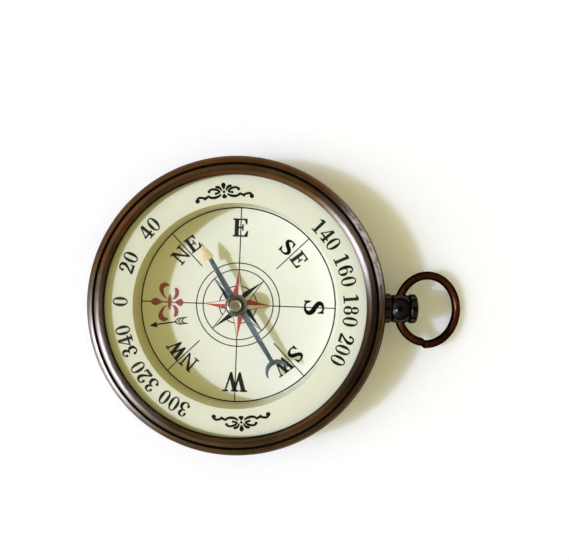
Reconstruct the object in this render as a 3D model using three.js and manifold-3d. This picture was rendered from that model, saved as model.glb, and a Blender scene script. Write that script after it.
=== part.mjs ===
// A pocket compass for map work: a turned brass case with a glass crystal, a sunk dial under a
// free needle, and a pendant that carries a split wire bow. Millimetres, +Z up. The origin is the
// middle of the flat base, and the pendant points along +X.
import * as THREE from "three";
import { mergeVertices } from "three/addons/utils/BufferGeometryUtils.js";
import Module from "manifold-3d";

// Case sizes
const caseRadius = 37.5;
const caseWall = 1.5;
const floorThickness = 1.4;
const baseChamfer = 0.3;
const lowerCurveReach = 5;
const lowerCurveHeight = 4.6;
const ledgeThickness = 0.7;
const ledgeWidth = 1.9;
const ledgeChamfer = 0.2;
const rimRise = 1.5;
const shoulderWidth = 2.2;
const shoulderDrop = 3;
const grooveWidth = 0.5;
const grooveDepth = 0.45;
const grooveBevel = 0.2;

// Bezel sizes
const bezelFlange = 0.85;
const bezelSkirt = 0.5;
const bezelLip = 0.95;
const skirtGap = 0.3;
const lipEdge = 0.3;
const lipBevel = 0.22;
const crownRise = 0.8;
const crownWidth = 0.9;
const bezelEdge = 0.35;

// Stack under the bezel: crystal, gasket, chapter card, dial pan and its paper linings
const crystalThickness = 1;
const crystalChamfer = 0.15;
const gasketThickness = 0.2;
const gasketWidth = 0.7;
const cardThickness = 0.3;
const panSheet = 0.5;
const chapterWidth = 7.75;
const wellDepth = 6.4;

// Pivot sizes
const bushRadius = 1.1;
const bushHeight = 1.8;
const bushFlangeRadius = 1.8;
const bushFlange = 0.5;
const bushShank = 0.9;
const bushTail = 0.1;
const tailGap = 0.5;
const pinRadius = 0.4;
const pinPoint = 1.6;
const pivotWasherRim = 1.4;
const pivotWasherThickness = 0.4;
const pivotNutWall = 1.4;
const pivotNutHeight = 1.4;

// Needle sizes
const needleLift = 3.35;
const needleHeading = THREE.MathUtils.degToRad(120.6);
const bladeThickness = 0.45;
const northGap = 7.35;
const headLength = 4.35;
const headBackSlope = 0.3;
const headHalfWidth = 1.45;
const headSkew = 0.4;
const headWaist = 1.05;
const headWaistShare = 0.6;
const armTipHalf = 0.55;
const armRootHalf = 0.78;
const eyeRadius = 2.35;
const southGap = 9;
const tailShift = 0.75;
const tailRootShare = 0.65;
const crescentRadius = 3;
const crescentThickness = 1.25;
const crescentInner = 2.75;
const hornAngle = THREE.MathUtils.degToRad(95);
const hornInnerAngle = THREE.MathUtils.degToRad(80);
const collarRingRadius = 2.85;
const collarRingEdge = 0.3;
const collarRingHeight = 1.75;
const collarRingCrown = 1.15;
const collarRingDip = 0.15;
const capRadius = 1.5;
const capRise = 1.95;
const capRecess = 0.16;
const capRim = 0.28;
const capEdge = 0.12;
const capFlangeRadius = 2.15;
const capFlange = 0.5;
const capRoof = 0.45;
const jewelRadius = 0.8;
const jewelConeRadius = 0.6;
const jewelLift = 0.15;
const jewelRoof = 0.35;
const pointGap = 0.1;

// Pendant sizes
const seatDepth = 0.55;
const studRadius = 1.2;
const studTail = 0.5;
const pendantCollarRadius = 3.75;
const pendantCollarThickness = 1.85;
const pendantCollarChamfer = 0.15;
const beadRadius = 3.95;
const beadLength = 4.75;
const buttonRadius = 3.7;
const buttonLength = 2.15;
const buttonRound = 0.4;
const buttonDome = 0.55;
const spigotRadius = 1;
const spigotShare = 0.6;
const washerRim = 0.7;
const washerThickness = 0.4;
const nutWall = 1;
const nutHeight = 1.6;

// Bow sizes
const bowRadius = 8.78;
const wireRadius = 1.06;
const wirePull = 0.15;
const bowSlide = 0.22;
const bowEndStep = 0.5;
const bowEndGap = 0.3;
const bowGapAngle = THREE.MathUtils.degToRad(-96.5);

// Clearances and the overrun of every cut
const fitClearance = 0.1;
const runningGap = 0.2;
const overrun = 1;

// Facet counts
const caseFacets = 64;
const smallFacets = 24;
const wireFacets = 12;
const bowSteps = 56;
const curveSteps = 5;
const roundSteps = 4;
const bladeCurveSteps = 8;

// Heights that follow from the stack
const pivotSpace = tailGap + bushTail + pivotNutHeight + pivotWasherThickness;
const panFloor = floorThickness + pivotSpace;
const dialBottom = panFloor + panSheet;
const dialTop = dialBottom + cardThickness;
const chapterTop = dialTop + wellDepth;
const chapterBottom = chapterTop - cardThickness;
const ledgeHeight = chapterBottom - panSheet;
const gasketTop = chapterTop + gasketThickness;
const crystalTop = gasketTop + crystalThickness;
const rimHeight = ledgeHeight + rimRise;
const shoulderTop = rimHeight + grooveDepth;
const shoulderFoot = shoulderTop - shoulderDrop;
const pendantHeight = (lowerCurveHeight + shoulderFoot) / 2;

// Radii that follow from the case's, from the outside in
const innerRadius = caseRadius - caseWall;
const baseRadius = caseRadius - lowerCurveReach;
const grooveRadius = caseRadius - shoulderWidth;
const bezelRadius = grooveRadius - grooveWidth;
const boreRadius = bezelRadius - bezelFlange;
const ledgeRadius = boreRadius - ledgeWidth;
const skirtOuter = boreRadius - fitClearance;
const skirtInner = skirtOuter - bezelSkirt;
const stackRadius = skirtInner - fitClearance;
const bezelOpening = stackRadius - bezelLip;
const wellRadius = stackRadius - chapterWidth;
const northReach = wellRadius - northGap;
const southReach = wellRadius - southGap;

// Places along the pendant
const seatPlace = caseRadius - seatDepth;
const beadStart = seatPlace + pendantCollarThickness;
const beadEnd = beadStart + beadLength;
const beadCentre = beadStart + beadLength / 2;
const beadFaceRadius = Math.sqrt(beadRadius ** 2 - (beadLength / 2) ** 2);
const studHole = studRadius + fitClearance;
const washerRadius = studHole + washerRim;
const washerFace = Math.sqrt(innerRadius ** 2 - washerRadius ** 2) - fitClearance;
const nutFace = washerFace - washerThickness;
const studEnd = nutFace - nutHeight - studTail;

// The wire bends inside its hole, is pulled to the outer side and has slid a little along the hole,
// so the hole is wider by all three
const wireBend = bowRadius - Math.sqrt(bowRadius ** 2 - (beadRadius + bowSlide) ** 2);
const bowHole = wireRadius + wireBend / 2 + wirePull + runningGap;
const spigotLength = (beadLength / 2 - bowHole) * spigotShare;

const wasm = await Module();
wasm.setup();

const finishes = {
  bronze: { color: 0x6a4c2a, roughness: 0.32, metalness: 1 },
  darkBronze: { color: 0x2c2018, roughness: 0.25, metalness: 1 },
  brass: { color: 0xb59a5a, roughness: 0.35, metalness: 1 },
  tin: { color: 0xa8a69a, roughness: 0.5, metalness: 1 },
  bluedSteel: { color: 0x56605f, roughness: 0.35, metalness: 1 },
  steel: { color: 0xb8bcc0, roughness: 0.25, metalness: 1 },
  card: { color: 0xe4e6d2, roughness: 0.85, metalness: 0 },
  fibre: { color: 0x1c1a17, roughness: 0.9, metalness: 0 },
  jewel: { color: 0xc46a50, roughness: 0.1, metalness: 0 },
  glass: { color: 0xf2f7f4, roughness: 0.03, metalness: 0, transparent: true, opacity: 0.25 },
};

function part(name, finish, geometry) {
  const mesh = new THREE.Mesh(geometry, new THREE.MeshStandardMaterial(finishes[finish]));
  mesh.name = name;
  return mesh;
}

// A point of a profile: radius from the axis, then height along it
function at(radius, height) {
  return new THREE.Vector2(radius, height);
}

// A stretch of an ellipse round (radius, height), from one angle to another in degrees
function bend(radius, height, across, along, from, to, steps) {
  const turn = THREE.MathUtils.degToRad;
  const curve = new THREE.EllipseCurve(
    radius, height, across, along, turn(from), turn(to), to < from);
  return curve.getPoints(steps);
}

// A solid of revolution round Z. Its profile runs with the material on its left.
function turned(profile, facets) {
  const points = THREE.ShapeUtils.area(profile) > 0 ? profile : [...profile].reverse();
  return new THREE.LatheGeometry(points, facets).rotateX(Math.PI / 2);
}

// The same, for a ring whose profile closes on itself away from the axis
function turnedRing(profile, facets) {
  const points = THREE.ShapeUtils.area(profile) > 0 ? profile : [...profile].reverse();
  return turned([...points, points[0]], facets);
}

// A plain ring with a square section
function flatRing(inner, outer, bottom, top, facets) {
  return turnedRing([at(inner, bottom), at(outer, bottom), at(outer, top), at(inner, top)], facets);
}

// A hexagon nut round Z with a round hole
function hexNut(corner, hole, bottom, height) {
  const outline = new THREE.Shape();
  for (let side = 0; side < 6; side += 1) {
    const angle = (side * Math.PI) / 3;
    const place = [corner * Math.cos(angle), corner * Math.sin(angle)];
    if (side === 0) {
      outline.moveTo(...place);
    } else {
      outline.lineTo(...place);
    }
  }
  outline.closePath();
  outline.holes.push(new THREE.Path().absarc(0, 0, hole, 0, 2 * Math.PI));
  const options = { depth: height, bevelEnabled: false, curveSegments: smallFacets / 2 };
  return new THREE.ExtrudeGeometry(outline, options).translate(0, 0, bottom);
}

// A closed geometry as a solid that can be cut
function solidOf(geometry) {
  const bare = geometry.clone();
  bare.deleteAttribute("normal");
  bare.deleteAttribute("uv");
  const merged = mergeVertices(bare);
  const vertProperties = merged.attributes.position.array;
  const triVerts = new Uint32Array(merged.index.array);
  return new wasm.Manifold(new wasm.Mesh({ numProp: 3, vertProperties, triVerts }));
}

function geometryOf(solid) {
  const { vertProperties, triVerts } = solid.getMesh();
  const geometry = new THREE.BufferGeometry();
  geometry.setAttribute("position", new THREE.BufferAttribute(vertProperties, 3));
  geometry.setIndex(new THREE.BufferAttribute(triVerts, 1));
  geometry.computeVertexNormals();
  return geometry;
}

function cut(geometry, ...cutters) {
  return geometryOf(cutters.reduce((body, cutter) => body.subtract(solidOf(cutter)), solidOf(geometry)));
}

// A round cutter along X from one place to another, at the pendant's height
function boreAlongX(radius, from, to) {
  const cutter = new THREE.CylinderGeometry(radius, radius, to - from, smallFacets);
  return cutter.rotateZ(Math.PI / 2).translate((from + to) / 2, 0, pendantHeight);
}

// The case: a turned cup with a rounded lower wall, a ledge for the dial pan, a bore for the
// bezel's skirt, a groove and a rounded shoulder, and a flat seat for the pendant's collar
function caseBody() {
  const ledgeUnder = ledgeHeight - ledgeThickness;
  const profile = [
    at(0, 0),
    at(baseRadius - baseChamfer, 0),
    ...bend(baseRadius, lowerCurveHeight, caseRadius - baseRadius, lowerCurveHeight, -90, 0, curveSteps),
    ...bend(grooveRadius + grooveBevel, shoulderFoot, caseRadius - grooveRadius - grooveBevel,
      shoulderDrop, 0, 90, curveSteps),
    at(grooveRadius, shoulderTop - grooveBevel),
    at(grooveRadius, rimHeight),
    at(boreRadius, rimHeight),
    at(boreRadius, ledgeHeight),
    at(ledgeRadius, ledgeHeight),
    at(ledgeRadius, ledgeUnder),
    at(innerRadius - ledgeChamfer, ledgeUnder),
    at(innerRadius, ledgeUnder - ledgeChamfer),
    ...bend(baseRadius, lowerCurveHeight, innerRadius - baseRadius, lowerCurveHeight - floorThickness,
      0, -90, roundSteps),
    at(0, floorThickness),
  ];
  const seat = boreAlongX(pendantCollarRadius + fitClearance, seatPlace, caseRadius + overrun);
  const hole = boreAlongX(studHole, innerRadius - overrun, caseRadius + overrun);
  return cut(turned(profile, caseFacets), seat, hole);
}

// The bezel: a skirt that enters the case's bore, a flange on the rim, and a rounded crown whose
// lip holds the crystal down
function bezel() {
  const crownTop = crystalTop + crownRise;
  const ridge = bezelOpening + crownWidth;
  const edgeTop = rimHeight + bezelEdge;
  return turnedRing([
    at(bezelOpening, crystalTop),
    at(skirtInner, crystalTop),
    at(skirtInner, ledgeHeight + skirtGap),
    at(skirtOuter, ledgeHeight + skirtGap),
    at(skirtOuter, rimHeight),
    at(bezelRadius, rimHeight),
    ...bend(ridge, edgeTop, bezelRadius - ridge, crownTop - edgeTop, 0, 90, curveSteps),
    ...bend(ridge, crystalTop + lipEdge, crownWidth - lipBevel, crownRise - lipEdge, 90, 180, roundSteps),
    at(bezelOpening, crystalTop + lipEdge - lipBevel / 2),
  ], caseFacets);
}

// The crystal: a flat glass with a ground edge
function crystal() {
  const edge = stackRadius - crystalChamfer;
  return turned([
    at(0, gasketTop),
    at(edge, gasketTop),
    at(stackRadius, gasketTop + crystalChamfer),
    at(stackRadius, crystalTop - crystalChamfer),
    at(edge, crystalTop),
    at(0, crystalTop),
  ], caseFacets);
}

function crystalGasket() {
  return flatRing(stackRadius - gasketWidth, stackRadius, chapterTop, gasketTop, caseFacets);
}

function chapterCard() {
  return flatRing(wellRadius, stackRadius, chapterBottom, chapterTop, caseFacets);
}

// The dial pan: spun sheet with a flat floor, an upright wall and a flange that hangs on the ledge
function dialPan() {
  const panInner = wellRadius + cardThickness + fitClearance;
  const panOuter = panInner + panSheet;
  const hole = bushShank + fitClearance;
  return turnedRing([
    at(hole, panFloor),
    at(panOuter, panFloor),
    at(panOuter, ledgeHeight),
    at(stackRadius, ledgeHeight),
    at(stackRadius, chapterBottom),
    at(panInner, chapterBottom),
    at(panInner, dialBottom),
    at(hole, dialBottom),
  ], caseFacets);
}

// The strip of card that lines the wall of the well
function wellLiner() {
  return flatRing(wellRadius, wellRadius + cardThickness, dialTop, chapterBottom, caseFacets);
}

function dialCard() {
  const hole = bushShank + fitClearance;
  return flatRing(hole, wellRadius + cardThickness, dialBottom, dialTop, caseFacets);
}

// The pivot bush: a flange on the dial, a post above it, and a shank that goes through the card and
// the pan to the nut, bored for the pin
function pivotBush() {
  const top = dialTop + bushHeight;
  const bore = pinRadius + fitClearance;
  return turned([
    at(0, floorThickness + tailGap),
    at(bushShank, floorThickness + tailGap),
    at(bushShank, dialTop),
    at(bushFlangeRadius, dialTop),
    at(bushFlangeRadius, dialTop + bushFlange),
    at(bushRadius, dialTop + bushFlange),
    at(bushRadius, top),
    at(bore, top),
    at(bore, panFloor),
    at(0, panFloor),
  ], smallFacets);
}

// Heights on the needle, from the blade's middle
const bladeBottom = dialTop + needleLift - bladeThickness / 2;
const bladeTop = bladeBottom + bladeThickness;
const capBottom = bladeBottom - capFlange;
const capTop = bladeTop + capRise;
const jewelTop = capTop - capRoof - capRecess;
const coneTop = jewelTop - jewelRoof;
const pinTop = coneTop - pointGap;

// The pivot pin: a straight wire with a long point
function pivotPin() {
  return turned([
    at(0, panFloor),
    at(pinRadius, panFloor),
    at(pinRadius, pinTop - pinPoint),
    at(0, pinTop),
  ], smallFacets);
}

function pivotWasher() {
  const hole = bushShank + fitClearance;
  return flatRing(hole, hole + pivotWasherRim, panFloor - pivotWasherThickness, panFloor, smallFacets);
}

function pivotNut() {
  const hole = bushShank + fitClearance;
  const bottom = panFloor - pivotWasherThickness - pivotNutHeight;
  return hexNut(hole + pivotNutWall, hole, bottom, pivotNutHeight);
}

// The blade, with north along +X: an arrow head, two tapered arms that meet in an eye, and a
// crescent tail. It was cut by hand: the head leans to one side, and the tail's arm to the other.
function needleBlade() {
  const headBack = northReach - headLength;
  const waist = northReach - headLength * headWaistShare;
  const eyeSide = Math.sqrt(eyeRadius ** 2 - armRootHalf ** 2);
  const eyeAngle = Math.asin(armRootHalf / eyeRadius);
  const tailNear = Math.asin((armRootHalf - tailShift * tailRootShare) / eyeRadius);
  const tailFar = Math.asin((armRootHalf + tailShift * tailRootShare) / eyeRadius);
  const crescentCentre = -southReach - crescentRadius;
  const innerCentre = -southReach - crescentThickness - crescentInner;
  const jointAngle = Math.asin(armTipHalf / crescentRadius);
  const outline = new THREE.Shape();
  outline.moveTo(northReach, 0);
  outline.quadraticCurveTo(waist, headSkew + headWaist, headBack, headSkew + headHalfWidth);
  outline.lineTo(headBack - headBackSlope, armTipHalf);
  outline.lineTo(eyeSide, armRootHalf);
  outline.absarc(0, 0, eyeRadius, eyeAngle, Math.PI - tailNear, false);
  outline.absarc(crescentCentre, -tailShift, crescentRadius, jointAngle, hornAngle, false);
  outline.absarc(innerCentre, -tailShift, crescentInner, hornInnerAngle, -hornInnerAngle, true);
  outline.absarc(crescentCentre, -tailShift, crescentRadius, -hornAngle, -jointAngle, false);
  outline.absarc(0, 0, eyeRadius, Math.PI + tailFar, 2 * Math.PI - eyeAngle, false);
  outline.lineTo(headBack - headBackSlope, -armTipHalf);
  outline.lineTo(headBack, headSkew - headHalfWidth);
  outline.quadraticCurveTo(waist, headSkew - headWaist, northReach, 0);
  outline.holes.push(new THREE.Path().absarc(0, 0, capRadius + fitClearance, 0, 2 * Math.PI));
  const options = { depth: bladeThickness, bevelEnabled: false, curveSegments: bladeCurveSteps };
  return new THREE.ExtrudeGeometry(outline, options).translate(0, 0, bladeBottom);
}

// The domed collar that clamps the blade from above
function needleCollar() {
  const inner = capRadius + fitClearance;
  const crown = collarRingRadius - collarRingCrown;
  return turnedRing([
    at(inner, bladeTop),
    at(collarRingRadius, bladeTop),
    ...bend(crown, bladeTop + collarRingEdge, collarRingCrown, collarRingHeight - collarRingEdge,
      0, 90, roundSteps),
    at(inner, bladeTop + collarRingHeight - collarRingDip),
  ], smallFacets);
}

// The brass cap: a flange under the blade, a stem through it, a sunk top, and a blind bore from
// below for the jewel
function needleCap() {
  const bore = jewelRadius + fitClearance;
  return turned([
    at(0, jewelTop),
    at(bore, jewelTop),
    at(bore, capBottom),
    at(capFlangeRadius, capBottom),
    at(capFlangeRadius, bladeBottom),
    at(capRadius, bladeBottom),
    at(capRadius, capTop - capEdge),
    at(capRadius - capEdge, capTop),
    at(capRadius - capRim, capTop),
    at(capRadius - capRim - capRecess, capTop - capRecess),
    at(0, capTop - capRecess),
  ], smallFacets);
}

function needleJewel() {
  const bottom = capBottom + jewelLift;
  return turned([
    at(0, coneTop),
    at(jewelConeRadius, bottom),
    at(jewelRadius, bottom),
    at(jewelRadius, jewelTop),
    at(0, jewelTop),
  ], smallFacets);
}

// The pendant pieces are turned round their own axis, with the distance from the case's middle as
// the height along it
function pendantStud() {
  const mouth = spigotRadius + fitClearance;
  const face = Math.atan2(beadLength / 2, beadFaceRadius) * THREE.MathUtils.RAD2DEG;
  const depth = spigotLength + fitClearance;
  const blank = turned([
    at(0, studEnd),
    at(studRadius, studEnd),
    at(studRadius, beadStart),
    ...bend(0, beadCentre, beadRadius, beadRadius, -face, face, 2 * curveSteps),
    at(mouth, beadEnd),
    at(mouth, beadEnd - depth),
    at(0, beadEnd - depth),
  ], smallFacets);
  const wireHole = new THREE.CylinderGeometry(bowHole, bowHole, 2 * (beadRadius + overrun), smallFacets);
  return cut(blank, wireHole.translate(0, 0, beadCentre));
}

function pendantCollar() {
  const edge = pendantCollarRadius - pendantCollarChamfer;
  return turnedRing([
    at(studHole, seatPlace),
    at(pendantCollarRadius, seatPlace),
    at(pendantCollarRadius, beadStart - pendantCollarChamfer),
    at(edge, beadStart),
    at(studHole, beadStart),
  ], smallFacets);
}

// The end button: a spigot in the bead, a rounded rim and a low dome
function pendantButton() {
  const rimEnd = beadEnd + buttonLength - buttonDome;
  const faceRadius = buttonRadius - buttonRound / 2;
  return turned([
    at(0, beadEnd - spigotLength),
    at(spigotRadius, beadEnd - spigotLength),
    at(spigotRadius, beadEnd),
    ...bend(buttonRadius - buttonRound, beadEnd + buttonRound, buttonRound, buttonRound, -90, 0, roundSteps),
    at(buttonRadius, rimEnd - buttonRound / 2),
    ...bend(0, rimEnd, faceRadius, buttonDome, 0, 90, curveSteps),
  ], smallFacets);
}

function pendantWasher() {
  return flatRing(studHole, washerRadius, nutFace, washerFace, smallFacets);
}

function pendantNut() {
  return hexNut(studHole + nutWall, studHole, nutFace - nutHeight, nutHeight);
}

// The bow wire's radius at an angle round the ring: its two ends meet one step apart
function bowRadiusAt(angle) {
  const turns = (angle - bowGapAngle) / (2 * Math.PI);
  return bowRadius + bowEndStep / 2 - bowEndStep * turns;
}

class BowWire extends THREE.Curve {
  getPoint(share, target = new THREE.Vector3()) {
    const halfGap = bowEndGap / bowRadius / 2;
    const angle = bowGapAngle + halfGap + share * 2 * (Math.PI - halfGap);
    const radius = bowRadiusAt(angle);
    return target.set(radius * Math.cos(angle), radius * Math.sin(angle), 0);
  }
}

function bowRing() {
  const section = new THREE.Shape().absarc(0, 0, wireRadius, 0, 2 * Math.PI);
  return new THREE.ExtrudeGeometry(section, {
    steps: bowSteps,
    curveSegments: wireFacets / 2,
    extrudePath: new BowWire(),
  });
}

// The bow turns about an axis across the bead, and lies on the surface under the case
const bowCentre = bowRadiusAt(Math.PI) - wireBend / 2 + wirePull;
const bowReach = bowCentre + bowRadiusAt(0);
const bowSlope = Math.asin((pendantHeight - wireRadius) / bowReach);

const housing = new THREE.Group();
housing.add(
  part("case_body", "bronze", caseBody()),
  part("bezel", "bronze", bezel()),
  part("crystal", "glass", crystal()),
  part("crystal_gasket", "fibre", crystalGasket()),
  part("chapter_card", "card", chapterCard()),
  part("dial_pan", "tin", dialPan()),
  part("well_liner", "card", wellLiner()),
  part("dial_card", "card", dialCard()),
  part("pivot_bush", "brass", pivotBush()),
  part("pivot_pin", "steel", pivotPin()),
  part("pivot_washer", "brass", pivotWasher()),
  part("pivot_nut", "brass", pivotNut()),
);

const needle = new THREE.Group();
needle.rotation.z = needleHeading;
needle.add(
  part("needle_blade", "bluedSteel", needleBlade()),
  part("needle_collar", "darkBronze", needleCollar()),
  part("needle_cap", "brass", needleCap()),
  part("needle_jewel", "jewel", needleJewel()),
);

const pendant = new THREE.Group();
pendant.position.z = pendantHeight;
pendant.rotation.y = Math.PI / 2;
pendant.add(
  part("pendant_stud", "darkBronze", pendantStud()),
  part("pendant_collar", "darkBronze", pendantCollar()),
  part("pendant_button", "darkBronze", pendantButton()),
  part("pendant_washer", "brass", pendantWasher()),
  part("pendant_nut", "brass", pendantNut()),
);

const bow = new THREE.Group();
bow.position.set(beadCentre, 0, pendantHeight);
bow.rotation.y = bowSlope;
const ring = part("bow_ring", "darkBronze", bowRing());
ring.position.set(bowCentre, -bowSlide, 0);
bow.add(ring);

const group = new THREE.Group();
group.add(housing, needle, pendant, bow);

export default group;
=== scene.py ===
# %% [markdown]
# # A pocket compass for map work, dressed for the camera
#
# The imported model gives the fixed frame: every solid, its place and its joints. This lesson builds
# the visible pieces over that frame, in metres, with the same origin: the middle of the case's flat
# base, +X out along the pendant and +Z up through the glass. Loading the frame comes first. No
# visible piece may reach outside it.

# %% Load the frame
import math

import bmesh
import bpy
from mathutils import Matrix, Vector


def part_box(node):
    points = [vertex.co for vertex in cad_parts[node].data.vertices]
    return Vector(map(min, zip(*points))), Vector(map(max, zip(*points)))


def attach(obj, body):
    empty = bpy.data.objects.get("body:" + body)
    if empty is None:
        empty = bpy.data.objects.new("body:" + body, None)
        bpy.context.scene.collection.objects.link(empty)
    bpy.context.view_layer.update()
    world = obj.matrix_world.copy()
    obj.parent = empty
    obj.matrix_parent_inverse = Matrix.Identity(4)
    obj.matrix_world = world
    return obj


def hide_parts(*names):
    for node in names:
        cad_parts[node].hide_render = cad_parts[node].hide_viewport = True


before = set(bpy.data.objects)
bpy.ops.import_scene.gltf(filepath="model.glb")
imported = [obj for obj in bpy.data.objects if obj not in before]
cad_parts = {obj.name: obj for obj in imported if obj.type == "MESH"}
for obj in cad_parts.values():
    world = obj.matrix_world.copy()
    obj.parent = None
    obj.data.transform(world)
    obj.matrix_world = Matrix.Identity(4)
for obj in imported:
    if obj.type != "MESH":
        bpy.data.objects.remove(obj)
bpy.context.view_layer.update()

print("nodes:", len(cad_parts))

# %% [markdown]
# ## Camera
#
# The photograph was taken from almost straight above with a wide lens held close, so the far wall
# of the sunk dial shows on one side only. The place and the lens were worked out from circles whose
# heights are known: the rim, the bezel, the glass card and the dial. A wide lens close by bends the
# sizes the right way by itself, so no shift is needed.

# %% Camera
MM = 0.001
SENSOR_WIDTH = 36
FOCAL_LENGTH = 33.187
NEAREST, FARTHEST = 0.005, 20
CAMERA_PLACE = (14.893, 7.380, 140.62)
CAMERA_TURN = (-0.285, 1.26, 1.151)

eye = bpy.data.cameras.new("photo_camera")
eye.sensor_width = SENSOR_WIDTH
eye.lens = FOCAL_LENGTH
eye.clip_start, eye.clip_end = NEAREST, FARTHEST
camera = bpy.data.objects.new("photo_camera", eye)
camera.location = Vector(CAMERA_PLACE) * MM
camera.rotation_euler = [math.radians(degrees) for degrees in CAMERA_TURN]
bpy.context.scene.collection.objects.link(camera)
bpy.context.scene.camera = camera
print("camera stands", round(camera.location.z / MM, 1), "mm above the floor")

# %% [markdown]
# ## Values and small helpers
#
# A turned piece is known by its profile: a row of points, each a radius and a height. The next
# helpers write profiles down. `arc` gives a stretch of an ellipse, and `eased` rounds off a corner
# where a real lathe tool or a polishing wheel would, which also gives the edge its thin line of
# light. Each profile point carries a third number: above 0 it says how worn the spot is, up to 1, and
# below 0 how dark it is painted: patina in the groove, and painted shade on faces that turn sideways
# and inside the bezel's lip. The materials read that number later.

# %% Profile helpers
EASE_STEPS = 3


def arc(radius, height, across, along, start, end, steps, worn=0.0):
    """Points of an ellipse round (radius, height), from one angle to another in degrees."""
    points = []
    for step in range(steps + 1):
        angle = math.radians(start + (end - start) * step / steps)
        points.append((radius + across * math.cos(angle), height + along * math.sin(angle), worn))
    return points


def eased(profile, corners, reach, worn=1.0):
    """Rounds the numbered corners of a closed profile over the given reach and marks them as worn."""
    count = len(profile)
    out = []
    for i, point in enumerate(profile):
        if i not in corners:
            out.append(point)
            continue
        here = Vector(point[:2])
        before = Vector(profile[(i - 1) % count][:2])
        after = Vector(profile[(i + 1) % count][:2])
        into = min(reach, (before - here).length * 0.45)
        away = min(reach, (after - here).length * 0.45)
        start = here + (before - here).normalized() * into
        end = here + (after - here).normalized() * away
        for step in range(EASE_STEPS + 1):
            t = step / EASE_STEPS
            spot = start * (1 - t) ** 2 + here * 2 * t * (1 - t) + end * t * t
            out.append((spot.x, spot.y, worn))
    return out


print("a quarter circle in 4 steps has", len(arc(0, 0, 1, 1, 0, 90, 4)), "points")

# %% [markdown]
# ## One tree for all turned work
#
# The case, the bezel, the glass and most small pieces come off a lathe, so one Geometry Nodes tree
# turns them all. It lays out a grid of points, as many rows as the profile has points, then bends
# the grid round the axis: a row takes its radius and height from the profile, a column its angle.
# Merging closes the seam and the poles. `Facets` is a named input, because a small pin needs fewer
# than the case. A Screw modifier could do the same, but the tree also carries the wear mark of each
# profile point over to the finished surface.

# %% Helpers for trees
def link(tree, source, target):
    tree.links.new(source, target)


def add(tree, kind, **settings):
    """A new node in a tree, with its settings; names of inputs are given as `in_0`, `in_1`..."""
    node = tree.nodes.new(kind)
    for name, value in settings.items():
        if name.startswith("in_"):
            socket = node.inputs[int(name[3:])]
            if isinstance(value, bpy.types.NodeSocket):
                tree.links.new(value, socket)
            else:
                socket.default_value = value
        else:
            setattr(node, name, value)
    return node


def new_tree(name, inputs):
    """A Geometry Nodes tree with a geometry in and out and the named inputs."""
    tree = bpy.data.node_groups.new(name, "GeometryNodeTree")
    face = tree.interface
    face.new_socket("Geometry", in_out="INPUT", socket_type="NodeSocketGeometry")
    for label, kind, value in inputs:
        socket = face.new_socket(label, in_out="INPUT", socket_type="NodeSocket" + kind)
        if value is not None:
            socket.default_value = value
    face.new_socket("Geometry", in_out="OUTPUT", socket_type="NodeSocketGeometry")
    return tree, tree.nodes.new("NodeGroupInput"), tree.nodes.new("NodeGroupOutput")


def finish_tree(tree, geometry, given, out):
    """Ends a tree the same way each time: real geometry, smooth, with its material."""
    real = add(tree, "GeometryNodeRealizeInstances", in_0=geometry)
    dressed = add(tree, "GeometryNodeSetMaterial", in_0=real.outputs[0])
    link(tree, given.outputs["Finish"], dressed.inputs["Material"])
    link(tree, dressed.outputs[0], out.inputs[0])


def math_node(tree, operation, a, b=0.0):
    return add(tree, "ShaderNodeMath", operation=operation, in_0=a, in_1=b).outputs[0]


def times(tree, a, b):
    return math_node(tree, "MULTIPLY", a, b)


def plus(tree, a, b):
    return math_node(tree, "ADD", a, b)


def minus(tree, a, b):
    return math_node(tree, "SUBTRACT", a, b)


# %% Turning tree
SEAM_REACH = 0.000001


def turning_tree():
    tree, given, out = new_tree("turned_work", [
        ("Facets", "Int", 128), ("Points", "Int", 8), ("Finish", "Material", None)])
    columns = add(tree, "FunctionNodeIntegerMath", operation="ADD", in_0=given.outputs["Facets"],
                  in_1=1)
    grid = add(tree, "GeometryNodeMeshGrid", in_0=1.0, in_1=1.0)
    link(tree, given.outputs["Points"], grid.inputs["Vertices X"])
    link(tree, columns.outputs[0], grid.inputs["Vertices Y"])
    index = add(tree, "GeometryNodeInputIndex").outputs[0]
    row = add(tree, "FunctionNodeIntegerMath", operation="DIVIDE_FLOOR", in_0=index,
              in_1=columns.outputs[0])
    column = add(tree, "FunctionNodeIntegerMath", operation="MODULO", in_0=index,
                 in_1=columns.outputs[0])
    place = add(tree, "GeometryNodeInputPosition").outputs[0]
    profile = add(tree, "GeometryNodeSampleIndex", data_type="FLOAT_VECTOR", domain="POINT",
                  in_0=given.outputs[0], in_1=place)
    link(tree, row.outputs[0], profile.inputs["Index"])
    parts = add(tree, "ShaderNodeSeparateXYZ", in_0=profile.outputs[0])
    share = math_node(tree, "DIVIDE", column.outputs[0], given.outputs["Facets"])
    angle = times(tree, share, 2 * math.pi)
    x = times(tree, parts.outputs[0], math_node(tree, "COSINE", angle))
    y = times(tree, parts.outputs[0], math_node(tree, "SINE", angle))
    spot = add(tree, "ShaderNodeCombineXYZ", in_0=x, in_1=y, in_2=parts.outputs[2])
    marked = add(tree, "GeometryNodeStoreNamedAttribute", data_type="FLOAT", domain="POINT",
                 in_0=grid.outputs["Mesh"])
    marked.inputs["Name"].default_value = "worn"
    link(tree, parts.outputs[1], marked.inputs["Value"])
    bent = add(tree, "GeometryNodeSetPosition", in_0=marked.outputs[0])
    link(tree, spot.outputs[0], bent.inputs["Position"])
    closed = add(tree, "GeometryNodeMergeByDistance", in_0=bent.outputs[0])
    closed.inputs["Distance"].default_value = SEAM_REACH
    finish_tree(tree, closed.outputs[0], given, out)
    return tree


turned_work = turning_tree()
print("turning tree has", len(turned_work.nodes), "nodes")

# %% Running a tree
DOUBLE_REACH = 0.0000005
SLIVER_REACH = 0.0000002
CREASE = 32.0


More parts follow.
